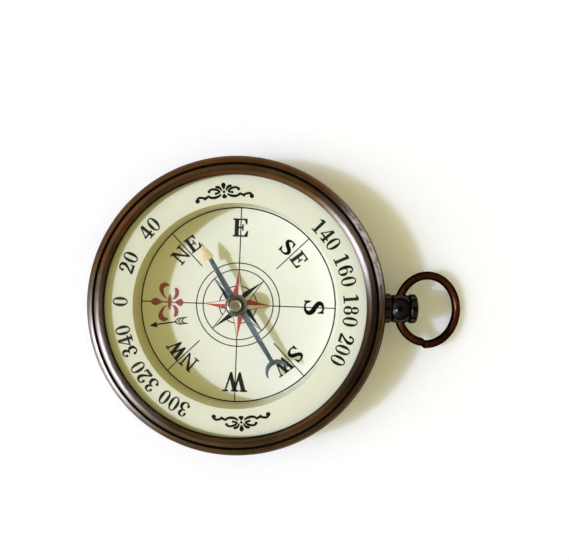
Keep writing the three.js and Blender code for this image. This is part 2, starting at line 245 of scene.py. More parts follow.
def shown(name, data):
    """A new object in the scene for a mesh or a curve."""
    obj = bpy.data.objects.new(name, data)
    bpy.context.scene.collection.objects.link(obj)
    return obj


def made_mesh(obj):
    """A plain mesh of an object as its modifiers or its curve make it."""
    bpy.context.view_layer.update()
    graph = bpy.context.evaluated_depsgraph_get()
    return bpy.data.meshes.new_from_object(obj.evaluated_get(graph))


def run_tree(name, mesh, tree, values):
    """Puts a mesh through a tree and returns the result as a plain mesh object."""
    holder = shown(name, mesh)
    step = holder.modifiers.new("build", "NODES")
    step.node_group = tree
    for item in tree.interface.items_tree:
        if item.in_out == "INPUT" and item.name in values:
            step[item.identifier] = values[item.name]
    made = made_mesh(holder)
    holder.modifiers.remove(step)
    holder.data = made
    made.name = name
    return holder


def tidy_mesh(obj, crease=CREASE):
    """Merges doubles, turns the faces outward and keeps edges sharper than the crease."""
    shape = bmesh.new()
    shape.from_mesh(obj.data)
    bmesh.ops.remove_doubles(shape, verts=shape.verts, dist=DOUBLE_REACH)
    bmesh.ops.dissolve_degenerate(shape, edges=shape.edges, dist=SLIVER_REACH)
    bmesh.ops.recalc_face_normals(shape, faces=shape.faces)
    shape.to_mesh(obj.data)
    shape.free()
    for face in obj.data.polygons:
        face.use_smooth = True
    obj.data.set_sharp_from_angle(angle=math.radians(crease))
    return obj


def turn(name, profile, finish, facets=256, ring=False, along_x=None, crease=CREASE):
    """A turned piece from its profile in millimetres. A ring's profile closes on itself.
    With along_x the axis lies along +X at that height, and heights are places along it."""
    points = list(profile) + ([profile[0]] if ring else [])
    row = bpy.data.meshes.new(name + "_profile")
    spots = []
    for point in points:
        worn = point[2] if len(point) > 2 else 0.0
        spots.append((point[0] * MM, worn, point[1] * MM))
    row.from_pydata(spots, [], [])
    piece = run_tree(name, row, turned_work,
                     {"Facets": facets, "Points": len(points), "Finish": finish})
    if along_x is not None:
        piece.data.transform(Matrix.Translation((0, 0, along_x * MM))
                             @ Matrix.Rotation(math.pi / 2, 4, "Y"))
    return tidy_mesh(piece, crease)


# %% [markdown]
# ## Shader groups
#
# Effects that several finishes share are built once as node groups: `tarnish` gives slow cloudy
# patches and fine specks, `lathe_marks` gives the thin rings that a tool and a polishing wheel
# leave round the axis, and `paper_fibre` gives the cloudy tone and short fibres of card.
# `wear_and_light` turns the profile's mark into uneven masks: where the finish is worn off, and
# where it is painted dark, as patina in the groove and as painted shade on faces that turn away from
# the window. For a finish set to one side it gives two more, by the way round the case: a grey
# painted sheen on the axis of the window's glare, and painted shade on the side away from the
# window. There it also keeps the worn marks to the side where the glare lights the bezel's inner
# slope, so they paint a mottled sheen as well as wear. The groups put out only values; the
# Principled shader stays in each material.

# %% Shader group helpers
def new_group(name, inputs, outputs):
    group = bpy.data.node_groups.new(name, "ShaderNodeTree")
    for label, value in inputs:
        socket = group.interface.new_socket(label, in_out="INPUT", socket_type="NodeSocketFloat")
        socket.default_value = value
    for label in outputs:
        group.interface.new_socket(label, in_out="OUTPUT", socket_type="NodeSocketFloat")
    return group, group.nodes.new("NodeGroupInput"), group.nodes.new("NodeGroupOutput")


def remap(tree, value, low, high, to_low=0.0, to_high=1.0):
    return add(tree, "ShaderNodeMapRange", in_0=value, in_1=low, in_2=high, in_3=to_low,
               in_4=to_high).outputs[0]


def noise_node(tree, vector, scale, detail, rough):
    node = add(tree, "ShaderNodeTexNoise")
    link(tree, vector, node.inputs["Vector"])
    if isinstance(scale, bpy.types.NodeSocket):
        link(tree, scale, node.inputs["Scale"])
    else:
        node.inputs["Scale"].default_value = scale
    node.inputs["Detail"].default_value = detail
    node.inputs["Roughness"].default_value = rough
    return node.outputs[0]


# %% Tarnish, lathe marks, wear and paper
def tarnish_group():
    group, given, out = new_group("tarnish", [("Patch Scale", 90.0), ("Speck Scale", 1400.0)],
                                  ["Patches", "Specks"])
    spot = add(group, "ShaderNodeTexCoord").outputs["Object"]
    patches = remap(group, noise_node(group, spot, given.outputs[0], 4.0, 0.6), 0.36, 0.64)
    specks = remap(group, noise_node(group, spot, given.outputs[1], 2.0, 0.6), 0.52, 0.68)
    link(group, patches, out.inputs[0])
    link(group, specks, out.inputs[1])
    return group


def lathe_marks_group():
    group, given, out = new_group("lathe_marks", [("Rings Per Metre", 5200.0)], ["Rings", "Sweep"])
    spot = add(group, "ShaderNodeTexCoord").outputs["Object"]
    flat = add(group, "ShaderNodeSeparateXYZ", in_0=spot)
    square = plus(group, times(group, flat.outputs[0], flat.outputs[0]),
                  times(group, flat.outputs[1], flat.outputs[1]))
    radius = math_node(group, "SQRT", square)
    angle = math_node(group, "ARCTAN2", flat.outputs[1], flat.outputs[0])
    across = times(group, plus(group, radius, flat.outputs[2]), given.outputs[0])
    sweep = times(group, math_node(group, "SINE", angle), 0.7)
    turn_round = times(group, math_node(group, "COSINE", angle), 0.7)
    place = add(group, "ShaderNodeCombineXYZ", in_0=across, in_1=sweep, in_2=turn_round)
    rings = noise_node(group, place.outputs[0], 1.0, 3.0, 0.7)
    slow = add(group, "ShaderNodeCombineXYZ", in_0=times(group, across, 0.08),
               in_1=times(group, sweep, 4.0), in_2=times(group, turn_round, 4.0))
    link(group, rings, out.inputs[0])
    drift = times(group, math_node(group, "SINE", angle), 0.12)
    clouds = noise_node(group, slow.outputs[0], 1.0, 2.0, 0.5)
    link(group, plus(group, clouds, drift), out.inputs[1])
    return group


# The glare axis gives the painted sheen its bearing; the shaded side is where the painted shade falls.
GLARE_AXIS = math.radians(205)
SHADED_SIDE = math.radians(345)


def wear_group():
    group, given, out = new_group("wear_and_light", [("Amount", 1.0), ("Grain", 700.0), ("One Side", 0.0)],
                                  ["Worn", "Shade And Patina", "Painted Sheen", "Side Shade"])
    mark = add(group, "ShaderNodeAttribute", attribute_name="worn").outputs["Fac"]
    spot = add(group, "ShaderNodeTexCoord").outputs["Object"]
    grain = noise_node(group, spot, given.outputs["Grain"], 4.0, 0.65)
    flat = add(group, "ShaderNodeSeparateXYZ", in_0=spot)
    angle = math_node(group, "ARCTAN2", flat.outputs[1], flat.outputs[0])
    # On a one-sided finish the worn mask is kept to the side across from the glare axis, where the
    # glare lights the bezel's inner slope, so there it paints a mottled sheen as well as wear.
    along = math_node(group, "COSINE", minus(group, angle, GLARE_AXIS))
    away = remap(group, along, -0.94, -0.992)
    beyond = minus(group, 1.0, away)
    share = minus(group, 1.0, times(group, given.outputs["One Side"], beyond))
    broken = times(group, remap(group, grain, 0.35, 0.62), given.outputs["Amount"])
    worn = times(group, times(group, mark, broken), share)
    link(group, add(group, "ShaderNodeClamp", in_0=worn).outputs[0], out.inputs[0])
    # Painted sheen: a grey tone on both ends of the glare axis, where the highlights fall.
    painted_sheen = math_node(group, "MAXIMUM", remap(group, along, 0.78, 0.97),
                       remap(group, along, -0.87, -0.985))
    # Negative marks make the shade-and-patina mask: patina in the groove and painted shade elsewhere,
    # weaker on faces that turn towards the window.
    turned = add(group, "ShaderNodeTexCoord").outputs["Normal"]
    axis = (math.cos(GLARE_AXIS), math.sin(GLARE_AXIS), 0.0)
    facing = add(group, "ShaderNodeVectorMath", operation="DOT_PRODUCT", in_0=turned, in_1=axis)
    away_from_window = remap(group, facing.outputs["Value"], 0.05, 0.35, 1.0, 0.2)
    depth = times(group, mark, -1.0)
    uneven = remap(group, grain, 0.3, 0.5, 0.85, 1.1)
    thin = times(group, times(group, depth, away_from_window), uneven)
    shade_and_patina = math_node(group, "MAXIMUM", thin, remap(group, depth, 0.9, 1.0))
    link(group, add(group, "ShaderNodeClamp", in_0=shade_and_patina).outputs[0], out.inputs[1])
    link(group, times(group, painted_sheen, given.outputs["One Side"]), out.inputs[2])
    # Painted shade on the side away from the window, where the mark is not worn.
    behind = math_node(group, "COSINE", minus(group, angle, SHADED_SIDE))
    plain = remap(group, mark, 0.0, 0.5, 1.0, 0.0)
    side_shade = times(group, remap(group, behind, 0.8, 0.95), plain)
    link(group, times(group, side_shade, given.outputs["One Side"]), out.inputs[3])
    return group


def paper_group():
    group, given, out = new_group("paper_fibre", [("Cloud Scale", 120.0), ("Fibre Scale", 3000.0)],
                                  ["Cloud", "Fibre"])
    spot = add(group, "ShaderNodeTexCoord").outputs["Object"]
    cloud = remap(group, noise_node(group, spot, given.outputs[0], 3.0, 0.6), 0.3, 0.7)
    link(group, cloud, out.inputs[0])
    fine = noise_node(group, spot, given.outputs[1], 5.0, 0.7)
    link(group, fine, out.inputs[1])
    return group


tarnish = tarnish_group()
lathe_marks = lathe_marks_group()
wear_and_light = wear_group()
paper_fibre = paper_group()
print("shader groups:", tarnish.name, lathe_marks.name, wear_and_light.name, paper_fibre.name)

# %% [markdown]
# ## Finishes
#
# The case is brass with a brown antique finish: black in the groove, as patina and painted shade,
# warmer and redder in the sweep of the polishing wheel, with a grey painted sheen where the
# window's glare falls and painted shade on the side away from the window. The bow is brown wire,
# copper on top, with painted shade on its flanks. All the metals share one recipe, `metal`, with
# their own colours: a base and a cloudy tone mixed by the tarnish patches, a warm tone, a worn tone
# on the edges, patina and painted shade where the mark is below 0, and fine rings that stir the
# roughness and the surface a little.

# %% Metal finishes
def rgb(red, green, blue):
    """A colour given as it looks on screen, 0 to 255, for a socket that wants linear light."""
    linear = []
    for value in (red, green, blue):
        share = value / 255
        linear.append(share / 12.92 if share <= 0.04045 else ((share + 0.055) / 1.055) ** 2.4)
    return (*linear, 1.0)


def new_material(name):
    material = bpy.data.materials.new(name)
    material.use_nodes = True
    tree = material.node_tree
    tree.nodes.clear()
    out = tree.nodes.new("ShaderNodeOutputMaterial")
    skin = tree.nodes.new("ShaderNodeBsdfPrincipled")
    link(tree, skin.outputs[0], out.inputs["Surface"])
    return material, tree, skin


def placed(tree, group, **values):
    node = tree.nodes.new("ShaderNodeGroup")
    node.node_tree = group
    for label, value in values.items():
        node.inputs[label.replace("_", " ")].default_value = value
    return node


def mixed(tree, share, a, b):
    node = add(tree, "ShaderNodeMix", data_type="RGBA")
    for socket, value in ((node.inputs[0], share), (node.inputs[6], a), (node.inputs[7], b)):
        if isinstance(value, bpy.types.NodeSocket):
            tree.links.new(value, socket)
        else:
            socket.default_value = value
    return node.outputs[2]


def raised(tree, skin, height, strength, depth):
    """Raises a surface a hair by a value, as fine rings, fibres and beads do."""
    bump = add(tree, "ShaderNodeBump")
    bump.inputs["Strength"].default_value = strength
    bump.inputs["Distance"].default_value = depth
    link(tree, height, bump.inputs["Height"])
    link(tree, bump.outputs[0], skin.inputs["Normal"])


SHADE_AND_PATINA_TONE = rgb(9, 7, 5)
BRINK = (0.15, 0.12, 0.09, 1)
WARM_SHARE = 0.6
MATTE_SHEEN_SHARE = 0.75
SIDE_SHARE = 0.8


def metal(name, base, cloudy, warm, worn, rough, wear_amount=1.0, rings=5200.0, patch_scale=90.0,
          depth=0.000004, coat=0.0, coat_rough=0.1, coat_ior=1.5, one_side=0.0, painted_sheen=None,
          side_shade=None, grain_pull=0.0, brink=BRINK, flank_shade=None):
    """A metal finish: base and cloudy tones, a warm tone in the sweep of the wheel, worn edges, and
    patina and painted shade where the mark is below 0. With one_side it carries a grey painted sheen
    on the glare's axis and painted shade on the side away from the window; grain_pull draws its
    reflections out across the lathe's rings. The brink is its colour where it turns away from the eye,
    and the flank shade, where given, is painted shade on what faces sideways or down.
    eye, and the flank, where given, the tone of what faces sideways or down."""
    material, tree, skin = new_material(name)
    skin.inputs["Specular Tint"].default_value = brink
    if grain_pull:
        skin.inputs["Anisotropic"].default_value = grain_pull
        skin.inputs["Anisotropic Rotation"].default_value = 0.25
        link(tree, add(tree, "ShaderNodeTangent", direction_type="RADIAL", axis="Z").outputs[0],
             skin.inputs["Tangent"])
    skin.inputs["Coat Roughness"].default_value = coat_rough
    skin.inputs["Coat IOR"].default_value = coat_ior
    clouds = placed(tree, tarnish, Patch_Scale=patch_scale)
    marks = placed(tree, lathe_marks, Rings_Per_Metre=rings)
    edges = placed(tree, wear_and_light, Amount=wear_amount, One_Side=one_side)
    # Patina and painted shade darken the tone, dull the metal and take off the coat; on a one-sided
    # finish the worn marks also turn matte, as painted sheen.
    shade_and_patina = edges.outputs["Shade And Patina"]
    worn_and_sheen = times(tree, edges.outputs["Worn"], MATTE_SHEEN_SHARE * one_side)
    dull = math_node(tree, "MAXIMUM", shade_and_patina, worn_and_sheen)
    link(tree, minus(tree, 1.0, dull), skin.inputs["Metallic"])
    tone = mixed(tree, clouds.outputs["Patches"], base, cloudy)
    sweep = remap(tree, marks.outputs["Sweep"], 0.42, 0.62)
    tone = mixed(tree, times(tree, sweep, WARM_SHARE), tone, warm)
    # Flank shade: painted shade on what faces sideways or down.
    if flank_shade:
        turned = add(tree, "ShaderNodeTexCoord").outputs["Normal"]
        upward = add(tree, "ShaderNodeSeparateXYZ", in_0=turned)
        tone = mixed(tree, remap(tree, upward.outputs[2], 0.94, 0.62), tone, flank_shade)
    # Painted sheen on the glare's axis, then painted shade on the side away from the window.
    if one_side:
        tone = mixed(tree, times(tree, edges.outputs["Painted Sheen"], SIDE_SHARE), tone, painted_sheen)
        tone = mixed(tree, times(tree, edges.outputs["Side Shade"], SIDE_SHARE), tone, side_shade)
    # Worn edges; on a one-sided finish these also paint the mottled sheen.
    tone = mixed(tree, edges.outputs["Worn"], tone, worn)
    link(tree, mixed(tree, shade_and_patina, tone, SHADE_AND_PATINA_TONE), skin.inputs["Base Color"])
    stirred = plus(tree, times(tree, marks.outputs["Rings"], 0.6),
                   times(tree, clouds.outputs["Specks"], 0.4))
    polish = remap(tree, stirred, 0.2, 0.7, *rough)
    link(tree, math_node(tree, "MAXIMUM", polish, times(tree, shade_and_patina, 0.8)),
         skin.inputs["Roughness"])
    if coat:
        link(tree, remap(tree, shade_and_patina, 0.0, 1.0, coat, 0.0), skin.inputs["Coat Weight"])
    raised(tree, skin, marks.outputs["Rings"], 0.35, depth)
    return material


# The case's nearly white worn tone shows only where the glare falls, as a mottled painted sheen as well
# as wear; its sheen tone is grey and its side shade dark brown.
case_bronze = metal("case_bronze", rgb(122, 97, 61), rgb(84, 70, 45), rgb(138, 86, 42),
                    rgb(235, 226, 232), rough=(0.28, 0.42), wear_amount=2.0, coat=0.25, coat_rough=0.25,
                    one_side=1.0, painted_sheen=rgb(152, 143, 134), side_shade=rgb(48, 36, 22), grain_pull=0.85)
dark_bronze = metal("dark_bronze", rgb(22, 22, 16), rgb(13, 18, 13), rgb(38, 28, 24),
                    rgb(84, 60, 44), rough=(0.1, 0.2), wear_amount=0.6, patch_scale=300.0, coat=0.35,
                    coat_rough=0.05, coat_ior=1.6, brink=(0.02, 0.02, 0.01, 1))
# The bow's flank shade paints the sides and underside of the wire dark, as shade.
bow_bronze = metal("bow_bronze", rgb(84, 50, 33), rgb(52, 32, 22), rgb(128, 76, 46),
                   rgb(180, 124, 80), rough=(0.28, 0.4), patch_scale=120.0,
                   brink=(0.03, 0.02, 0.01, 1), flank_shade=rgb(20, 11, 8))
collar_black = metal("collar_black", rgb(34, 37, 31), rgb(26, 29, 25), rgb(44, 40, 34),
                     rgb(90, 86, 70), rough=(0.1, 0.2), patch_scale=900.0, coat=1.0, coat_rough=0.04,
                     depth=0.000001, coat_ior=2.4)
plain_brass = metal("plain_brass", rgb(178, 166, 118), rgb(160, 152, 112), rgb(186, 160, 104),
                    rgb(225, 206, 160), rough=(0.3, 0.46), patch_scale=700.0, rings=9000.0)
needle_steel = metal("needle_steel", rgb(138, 150, 150), rgb(118, 130, 130), rgb(128, 136, 128),
                     rgb(150, 158, 152), rough=(0.3, 0.5), patch_scale=600.0, rings=2400.0)
pin_steel = metal("pin_steel", rgb(215, 218, 220), rgb(190, 195, 198), rgb(205, 206, 206),
                  rgb(235, 238, 240), rough=(0.15, 0.3), patch_scale=700.0, rings=9000.0)
pan_tin = metal("pan_tin", rgb(190, 188, 178), rgb(165, 163, 152), rgb(182, 176, 160),
                rgb(215, 214, 205), rough=(0.35, 0.55))
print("metal finishes:", case_bronze.name, dark_bronze.name, plain_brass.name, needle_steel.name)

# %% [markdown]
# Card and ink: ivory board with a faint cloud and a fine tooth, and two inks, black and red, that
# lie a little unevenly, so the card shows through at their weakest spots. The needle's arrow head is
# gilt, laid as thin paint over the steel.

# %% Card, ink, gilt and fibre
CARD_TOOTH = 0.00001


def card(name, light, dark, wall_shade=None):
    """Paper board; a wall shade, where given, is painted shade that browns the side that lies towards
    -X.
    """
    material, tree, skin = new_material(name)
    grain = placed(tree, paper_fibre)
    tone = mixed(tree, grain.outputs["Cloud"], light, dark)
    if wall_shade:
        spot = add(tree, "ShaderNodeTexCoord").outputs["Object"]
        across = add(tree, "ShaderNodeSeparateXYZ", in_0=spot)
        tone = mixed(tree, remap(tree, across.outputs[0], 0.012, -0.02), tone, wall_shade)
    link(tree, tone, skin.inputs["Base Color"])
    skin.inputs["Specular IOR Level"].default_value = 0.25
    link(tree, remap(tree, grain.outputs["Fibre"], 0.3, 0.7, 0.65, 0.85), skin.inputs["Roughness"])
    raised(tree, skin, grain.outputs["Fibre"], 0.25, CARD_TOOTH)
    return material


def ink(name, full, weak):
    material, tree, skin = new_material(name)
    grain = placed(tree, paper_fibre, Cloud_Scale=900.0)
    link(tree, mixed(tree, grain.outputs["Cloud"], full, weak), skin.inputs["Base Color"])
    skin.inputs["Specular IOR Level"].default_value = 0.3
    skin.inputs["Roughness"].default_value = 0.6
    return material


dial_paper = card("dial_paper", rgb(243, 243, 226), rgb(238, 239, 220))
chapter_paper = card("chapter_paper", rgb(232, 232, 209), rgb(226, 226, 201))
# The liner card is painted darker than the dial card, and its wall shade browns the -X side, which
# faces away from the window: both are painted shade in the well.
liner_paper = card("liner_paper", rgb(216, 216, 200), rgb(206, 204, 182), wall_shade=rgb(214, 206, 158))
black_ink = ink("black_ink", rgb(12, 12, 9), rgb(30, 30, 25))
red_ink = ink("red_ink", rgb(178, 66, 62), rgb(196, 92, 84))
fleur_ink = ink("fleur_ink", rgb(150, 70, 72), rgb(172, 96, 96))
gasket_fibre = card("gasket_fibre", rgb(40, 38, 34), rgb(30, 28, 25))


def gilt_paint():
    material, tree, skin = new_material("gilt_paint")
    clouds = placed(tree, tarnish, Patch_Scale=900.0, Speck_Scale=3000.0)
    edges = placed(tree, wear_and_light, Amount=0.9, Grain=1500.0)
    tone = mixed(tree, clouds.outputs["Patches"], rgb(234, 210, 154), rgb(222, 194, 134))
    link(tree, mixed(tree, edges.outputs["Worn"], tone, rgb(248, 236, 200)), skin.inputs["Base Color"])
    skin.inputs["Roughness"].default_value = 0.38
    skin.inputs["Metallic"].default_value = 0.25
    return material


gilt = gilt_paint()
print("papers and inks ready")

# %% [markdown]
# Glass is the one finish that light must cross. A flat pane keeps its reflections, but the light
# that comes down to the card shouldn't have to find its way through by chance, so for shadow rays
# and for scattered light the pane counts as clear. The jewel is a scrap of polished red-brown glass.

# %% Glass
def clear_glass():
    material, tree, skin = new_material("crystal_glass")
    skin.inputs["Base Color"].default_value = (0.985, 0.995, 0.985, 1.0)
    skin.inputs["Transmission Weight"].default_value = 1.0
    skin.inputs["IOR"].default_value = 1.5
    clouds = placed(tree, tarnish, Patch_Scale=60.0, Speck_Scale=900.0)
    link(tree, remap(tree, clouds.outputs["Patches"], 0.0, 1.0, 0.0, 0.012), skin.inputs["Roughness"])
    ray = add(tree, "ShaderNodeLightPath")
    free = math_node(tree, "MAXIMUM", ray.outputs["Is Shadow Ray"], ray.outputs["Is Diffuse Ray"])
    open_air = add(tree, "ShaderNodeBsdfTransparent")
    blend = add(tree, "ShaderNodeMixShader", in_0=free, in_1=skin.outputs[0], in_2=open_air.outputs[0])
    out = next(node for node in tree.nodes if node.type == "OUTPUT_MATERIAL")
    link(tree, blend.outputs[0], out.inputs["Surface"])
    return material


def jewel_glass():
    material, tree, skin = new_material("jewel_glass")
    clouds = placed(tree, tarnish, Patch_Scale=1500.0)
    link(tree, mixed(tree, clouds.outputs["Patches"], rgb(200, 110, 84), rgb(172, 84, 66)),
         skin.inputs["Base Color"])
    skin.inputs["Transmission Weight"].default_value = 0.6
    skin.inputs["Roughness"].default_value = 0.08
    return material


crystal_glass = clear_glass()
jewel = jewel_glass()

# %% [markdown]
# ## Floor and light
#
# The compass lies on a sheet of white expanded foam, whose beads show as a very faint pattern and
# let a little light through. Two cool lamps at one bearing on the left stand for the window: a
# narrow one that gives the shade on the dial its crisp edge, and a wide glow round it that softens
# the shadow on the floor. The room fills the shadows with a warm olive light. Together they add up
# to white, so a colour on a level surface looks about as it is written. Light Path parts what the
# eye meets from what lights the piece: the camera sees white, and metal and glass see dim warm
# walls with three soft glares, which stand for the window and what it lights.

# %% Floor
BEAD_SCALE = 300.0
BEAD_DEPTH = 0.0001
CAMERA_LIFT = 0.09


def foam_floor():
    material, tree, skin = new_material("foam_floor")
    spot = add(tree, "ShaderNodeTexCoord").outputs["Object"]
    beads = add(tree, "ShaderNodeTexVoronoi", feature="F1")
    link(tree, spot, beads.inputs["Vector"])
    beads.inputs["Scale"].default_value = BEAD_SCALE
    shade = remap(tree, beads.outputs["Distance"], 0.2, 0.75)
    patch = remap(tree, noise_node(tree, spot, 30.0, 3.0, 0.6), 0.35, 0.65)
    faint = times(tree, shade, times(tree, patch, 0.8))
    link(tree, mixed(tree, faint, (0.985, 0.985, 0.985, 1), (0.94, 0.94, 0.945, 1)),
         skin.inputs["Base Color"])
    skin.inputs["Subsurface Weight"].default_value = 1.0
    skin.inputs["Subsurface Radius"].default_value = (1.0, 1.0, 0.85)
    skin.inputs["Subsurface Scale"].default_value = 0.007
    skin.inputs["Roughness"].default_value = 0.9
    skin.inputs["Specular IOR Level"].default_value = 0.2
    camera_ray = add(tree, "ShaderNodeLightPath").outputs["Is Camera Ray"]
    skin.inputs["Emission Color"].default_value = (1, 1, 1, 1)
    link(tree, times(tree, camera_ray, CAMERA_LIFT), skin.inputs["Emission Strength"])
    raised(tree, skin, beads.outputs["Distance"], 0.2, BEAD_DEPTH)
    return material


def slab(name, half, thickness, finish):
    """A square sheet of foam whose top lies at height 0."""
    mesh = bpy.data.meshes.new(name)
    shape = bmesh.new()
    bmesh.ops.create_cube(shape, size=1.0)
    shape.to_mesh(mesh)
    shape.free()
    mesh.transform(Matrix.Translation((0, 0, -thickness / 2))
                   @ Matrix.Diagonal((2 * half, 2 * half, thickness, 1)))
    mesh.materials.append(finish)
    return shown(name, mesh)


floor = slab("floor", half=3.0, thickness=0.05, finish=foam_floor())

# %% Lamps
WINDOW_BEARING = 187
WINDOW_TONE = (0.67, 0.73, 1.0)


def window_lamp(name, energy, spread, rise):
    """A far lamp at the window's bearing; spread is its width in the sky and rise its height there."""
    lamp = bpy.data.lights.new(name, "SUN")
    lamp.energy = energy
    lamp.color = WINDOW_TONE
    lamp.angle = math.radians(spread)
    holder = bpy.data.objects.new(name, lamp)
    bearing, height = math.radians(WINDOW_BEARING), math.radians(rise)
    level = math.cos(height)
    towards = Vector((math.cos(bearing) * level, math.sin(bearing) * level, math.sin(height)))
    holder.rotation_euler = towards.to_track_quat("Z", "Y").to_euler()
    holder.location = towards
    holder.visible_glossy = False
    bpy.context.scene.collection.objects.link(holder)


window_lamp("window", energy=2.6, spread=3.5, rise=40)
window_lamp("window_glow", energy=1.9, spread=40, rise=30)
print("window stands at", WINDOW_BEARING, "degrees")

# %% [markdown]
# Each glare is a soft patch in the sky, known by its bearing, its height, how far it reaches round
# and up, all in degrees, and its level: a small strong one that gives the narrow highlights, a
# wider one for the window itself, and a weak wide one for the wall that it lights.

# %% Room
ROOM_FILL = (0.505, 0.452, 0.19, 1)
WALL_TONE = (1.0, 0.86, 0.62, 1)
BLACK, WHITE = (0.0, 0.0, 0.0, 1), (1.0, 1.0, 1.0, 1)
WALL_SIDE = (-0.95, -0.1, 0.0)
GLARE_TONE = (0.88, 0.97, 1.26, 1)
GLARES = ((203, 62, 6, 3.5, 40.0), (206, 40, 15, 22, 4.6), (195, 35, 60, 28, 0.3))
INSIDE, OUTSIDE = 0.75, 1.25


def faded(tree, off, reach):
    """1 well inside a reach in degrees, 0 well past it."""
    return remap(tree, off, math.radians(reach * INSIDE), math.radians(reach * OUTSIDE), 1.0, 0.0)


def glare(tree, way, azimuth, elevation, reach_round, reach_up, level):
    """One soft bright patch of the room."""
    parts = add(tree, "ShaderNodeSeparateXYZ", in_0=way)
    centre = math.radians(azimuth)
    c, s = math.cos(centre), math.sin(centre)
    ahead = plus(tree, times(tree, parts.outputs[0], c), times(tree, parts.outputs[1], s))
    aside = minus(tree, times(tree, parts.outputs[1], c), times(tree, parts.outputs[0], s))
    off_round = math_node(tree, "ABSOLUTE", math_node(tree, "ARCTAN2", aside, ahead))
    rise = math_node(tree, "ARCSINE", parts.outputs[2])
    off_up = math_node(tree, "ABSOLUTE", minus(tree, rise, math.radians(elevation)))
    patch = times(tree, faded(tree, off_round, reach_round), faded(tree, off_up, reach_up))
    return times(tree, patch, level)


def room():
    world = bpy.data.worlds.new("room")
    world.use_nodes = True
    tree = world.node_tree
    tree.nodes.clear()
    out = add(tree, "ShaderNodeOutputWorld")
    way = add(tree, "ShaderNodeTexCoord").outputs["Generated"]
    rise = add(tree, "ShaderNodeSeparateXYZ", in_0=way).outputs[2]
    ray = add(tree, "ShaderNodeLightPath")
    mirrored_ray = math_node(tree, "MAXIMUM", ray.outputs["Is Glossy Ray"],
                             ray.outputs["Is Transmission Ray"])
    walls = remap(tree, rise, 0.2, 0.55, 0.1, 0.42)
    walls = times(tree, walls, remap(tree, rise, 0.9, 0.96, 1.0, 0.2))
    side = add(tree, "ShaderNodeVectorMath", operation="DOT_PRODUCT", in_0=way, in_1=WALL_SIDE)
    walls = times(tree, walls, remap(tree, side.outputs["Value"], -0.8, 0.6, 0.5, 1.4))
    colour = mixed(tree, mirrored_ray, ROOM_FILL, mixed(tree, walls, BLACK, WALL_TONE))
    colour = mixed(tree, ray.outputs["Is Camera Ray"], colour, WHITE)
    lights = 0.0
    for values in GLARES:
        lights = plus(tree, lights, glare(tree, way, *values))
    shine = times(tree, lights, mirrored_ray)
    glow = add(tree, "ShaderNodeBackground", in_0=colour, in_1=1.0)
    patch = add(tree, "ShaderNodeBackground", in_0=GLARE_TONE, in_1=shine)
    both = add(tree, "ShaderNodeAddShader", in_0=glow.outputs[0], in_1=patch.outputs[0])
    link(tree, both.outputs[0], out.inputs["Surface"])
    world.cycles.sampling_method = "NONE"
    bpy.context.scene.world = world


room()
view = bpy.context.scene.view_settings
view.view_transform = "Standard"
print("view transform:", view.view_transform)

# %% [markdown]
# ## The case
#
# The case is a cup turned from brass: a flat base, a lower wall that curves up to the widest line,
# and a shoulder that rounds over to a narrow groove beside the bezel. Inside, a ledge carries the
# dial's pan. It could be modelled as a cylinder with bevels, but a profile keeps every step of the
# real lathe work. The finished cup is carved twice, for the flat seat of the pendant's collar and
# for the hole of its shank, with Boolean modifiers whose result is kept as a plain mesh.

# %% Case sizes in millimetres
CASE_RADIUS = 37.5
GROOVE_RADIUS = 35.3
BEZEL_RADIUS = 34.8
BORE_RADIUS = 33.95
BASE_RADIUS = 32.5
INNER_RADIUS = 36.0
LEDGE_RADIUS = 32.05
LEDGE_HEIGHT = 10.2
RIM_HEIGHT = 11.7
SHOULDER_TOP = 12.15
SHOULDER_FOOT = 9.15
LOWER_CURVE = 4.6
FLOOR_THICKNESS = 1.4
PENDANT_HEIGHT = 6.875
SEAT_PLACE = 36.95
LOWER_ACROSS, LOWER_INNER = 5.0, 3.5
SHOULDER_ACROSS, SHOULDER_RISE = 2.0, 3.0
LEDGE_THICKNESS = 0.7
SEAT_RADIUS, SEAT_CUT = 3.85, (SEAT_PLACE, 39.5)
SHANK_HOLE, SHANK_CUT = 1.3, (34.0, 38.5)
SIDE_SHADE_MARK = -0.88

# %% Case
def drill(name, radius, middle, length, height, turned="Y"):
    """A round cutter in millimetres with its middle at a place along X. Turned about Y it lies
    along X, and turned about X it lies across."""
    mesh = bpy.data.meshes.new(name)
    shape = bmesh.new()
    bmesh.ops.create_cone(shape, cap_ends=True, segments=48, radius1=radius * MM, radius2=radius * MM,
                          depth=length * MM)
    shape.to_mesh(mesh)
    shape.free()
    mesh.transform(Matrix.Translation((middle * MM, 0, height * MM))
                   @ Matrix.Rotation(math.pi / 2, 4, turned))
    return shown(name, mesh)


def carve(piece, cutters):
    """Cuts the cutters out of a piece and leaves a plain mesh."""
    for cutter in cutters:
        step = piece.modifiers.new("carve", "BOOLEAN")
        step.operation = "DIFFERENCE"
        step.solver = "EXACT"
        step.object = cutter
    made = made_mesh(piece)
    piece.modifiers.clear()
    name = piece.data.name
    piece.data = made
    made.name = name
    for cutter in cutters:
        bpy.data.objects.remove(cutter)
    return tidy_mesh(piece)


def darkened(points, full, none, worn=0.0):
    """Marks a quarter arc with painted shade where it faces sideways: fully up to one angle and not at
    all past the next. From there up it may be marked as worn."""
    out = []
    for step, point in enumerate(points):
        angle = 90 * step / (len(points) - 1)
        mark = SIDE_SHADE_MARK * min(1.0, (none - angle) / (none - full)) if angle < none else worn
        out.append((*point[:2], mark))
    return out


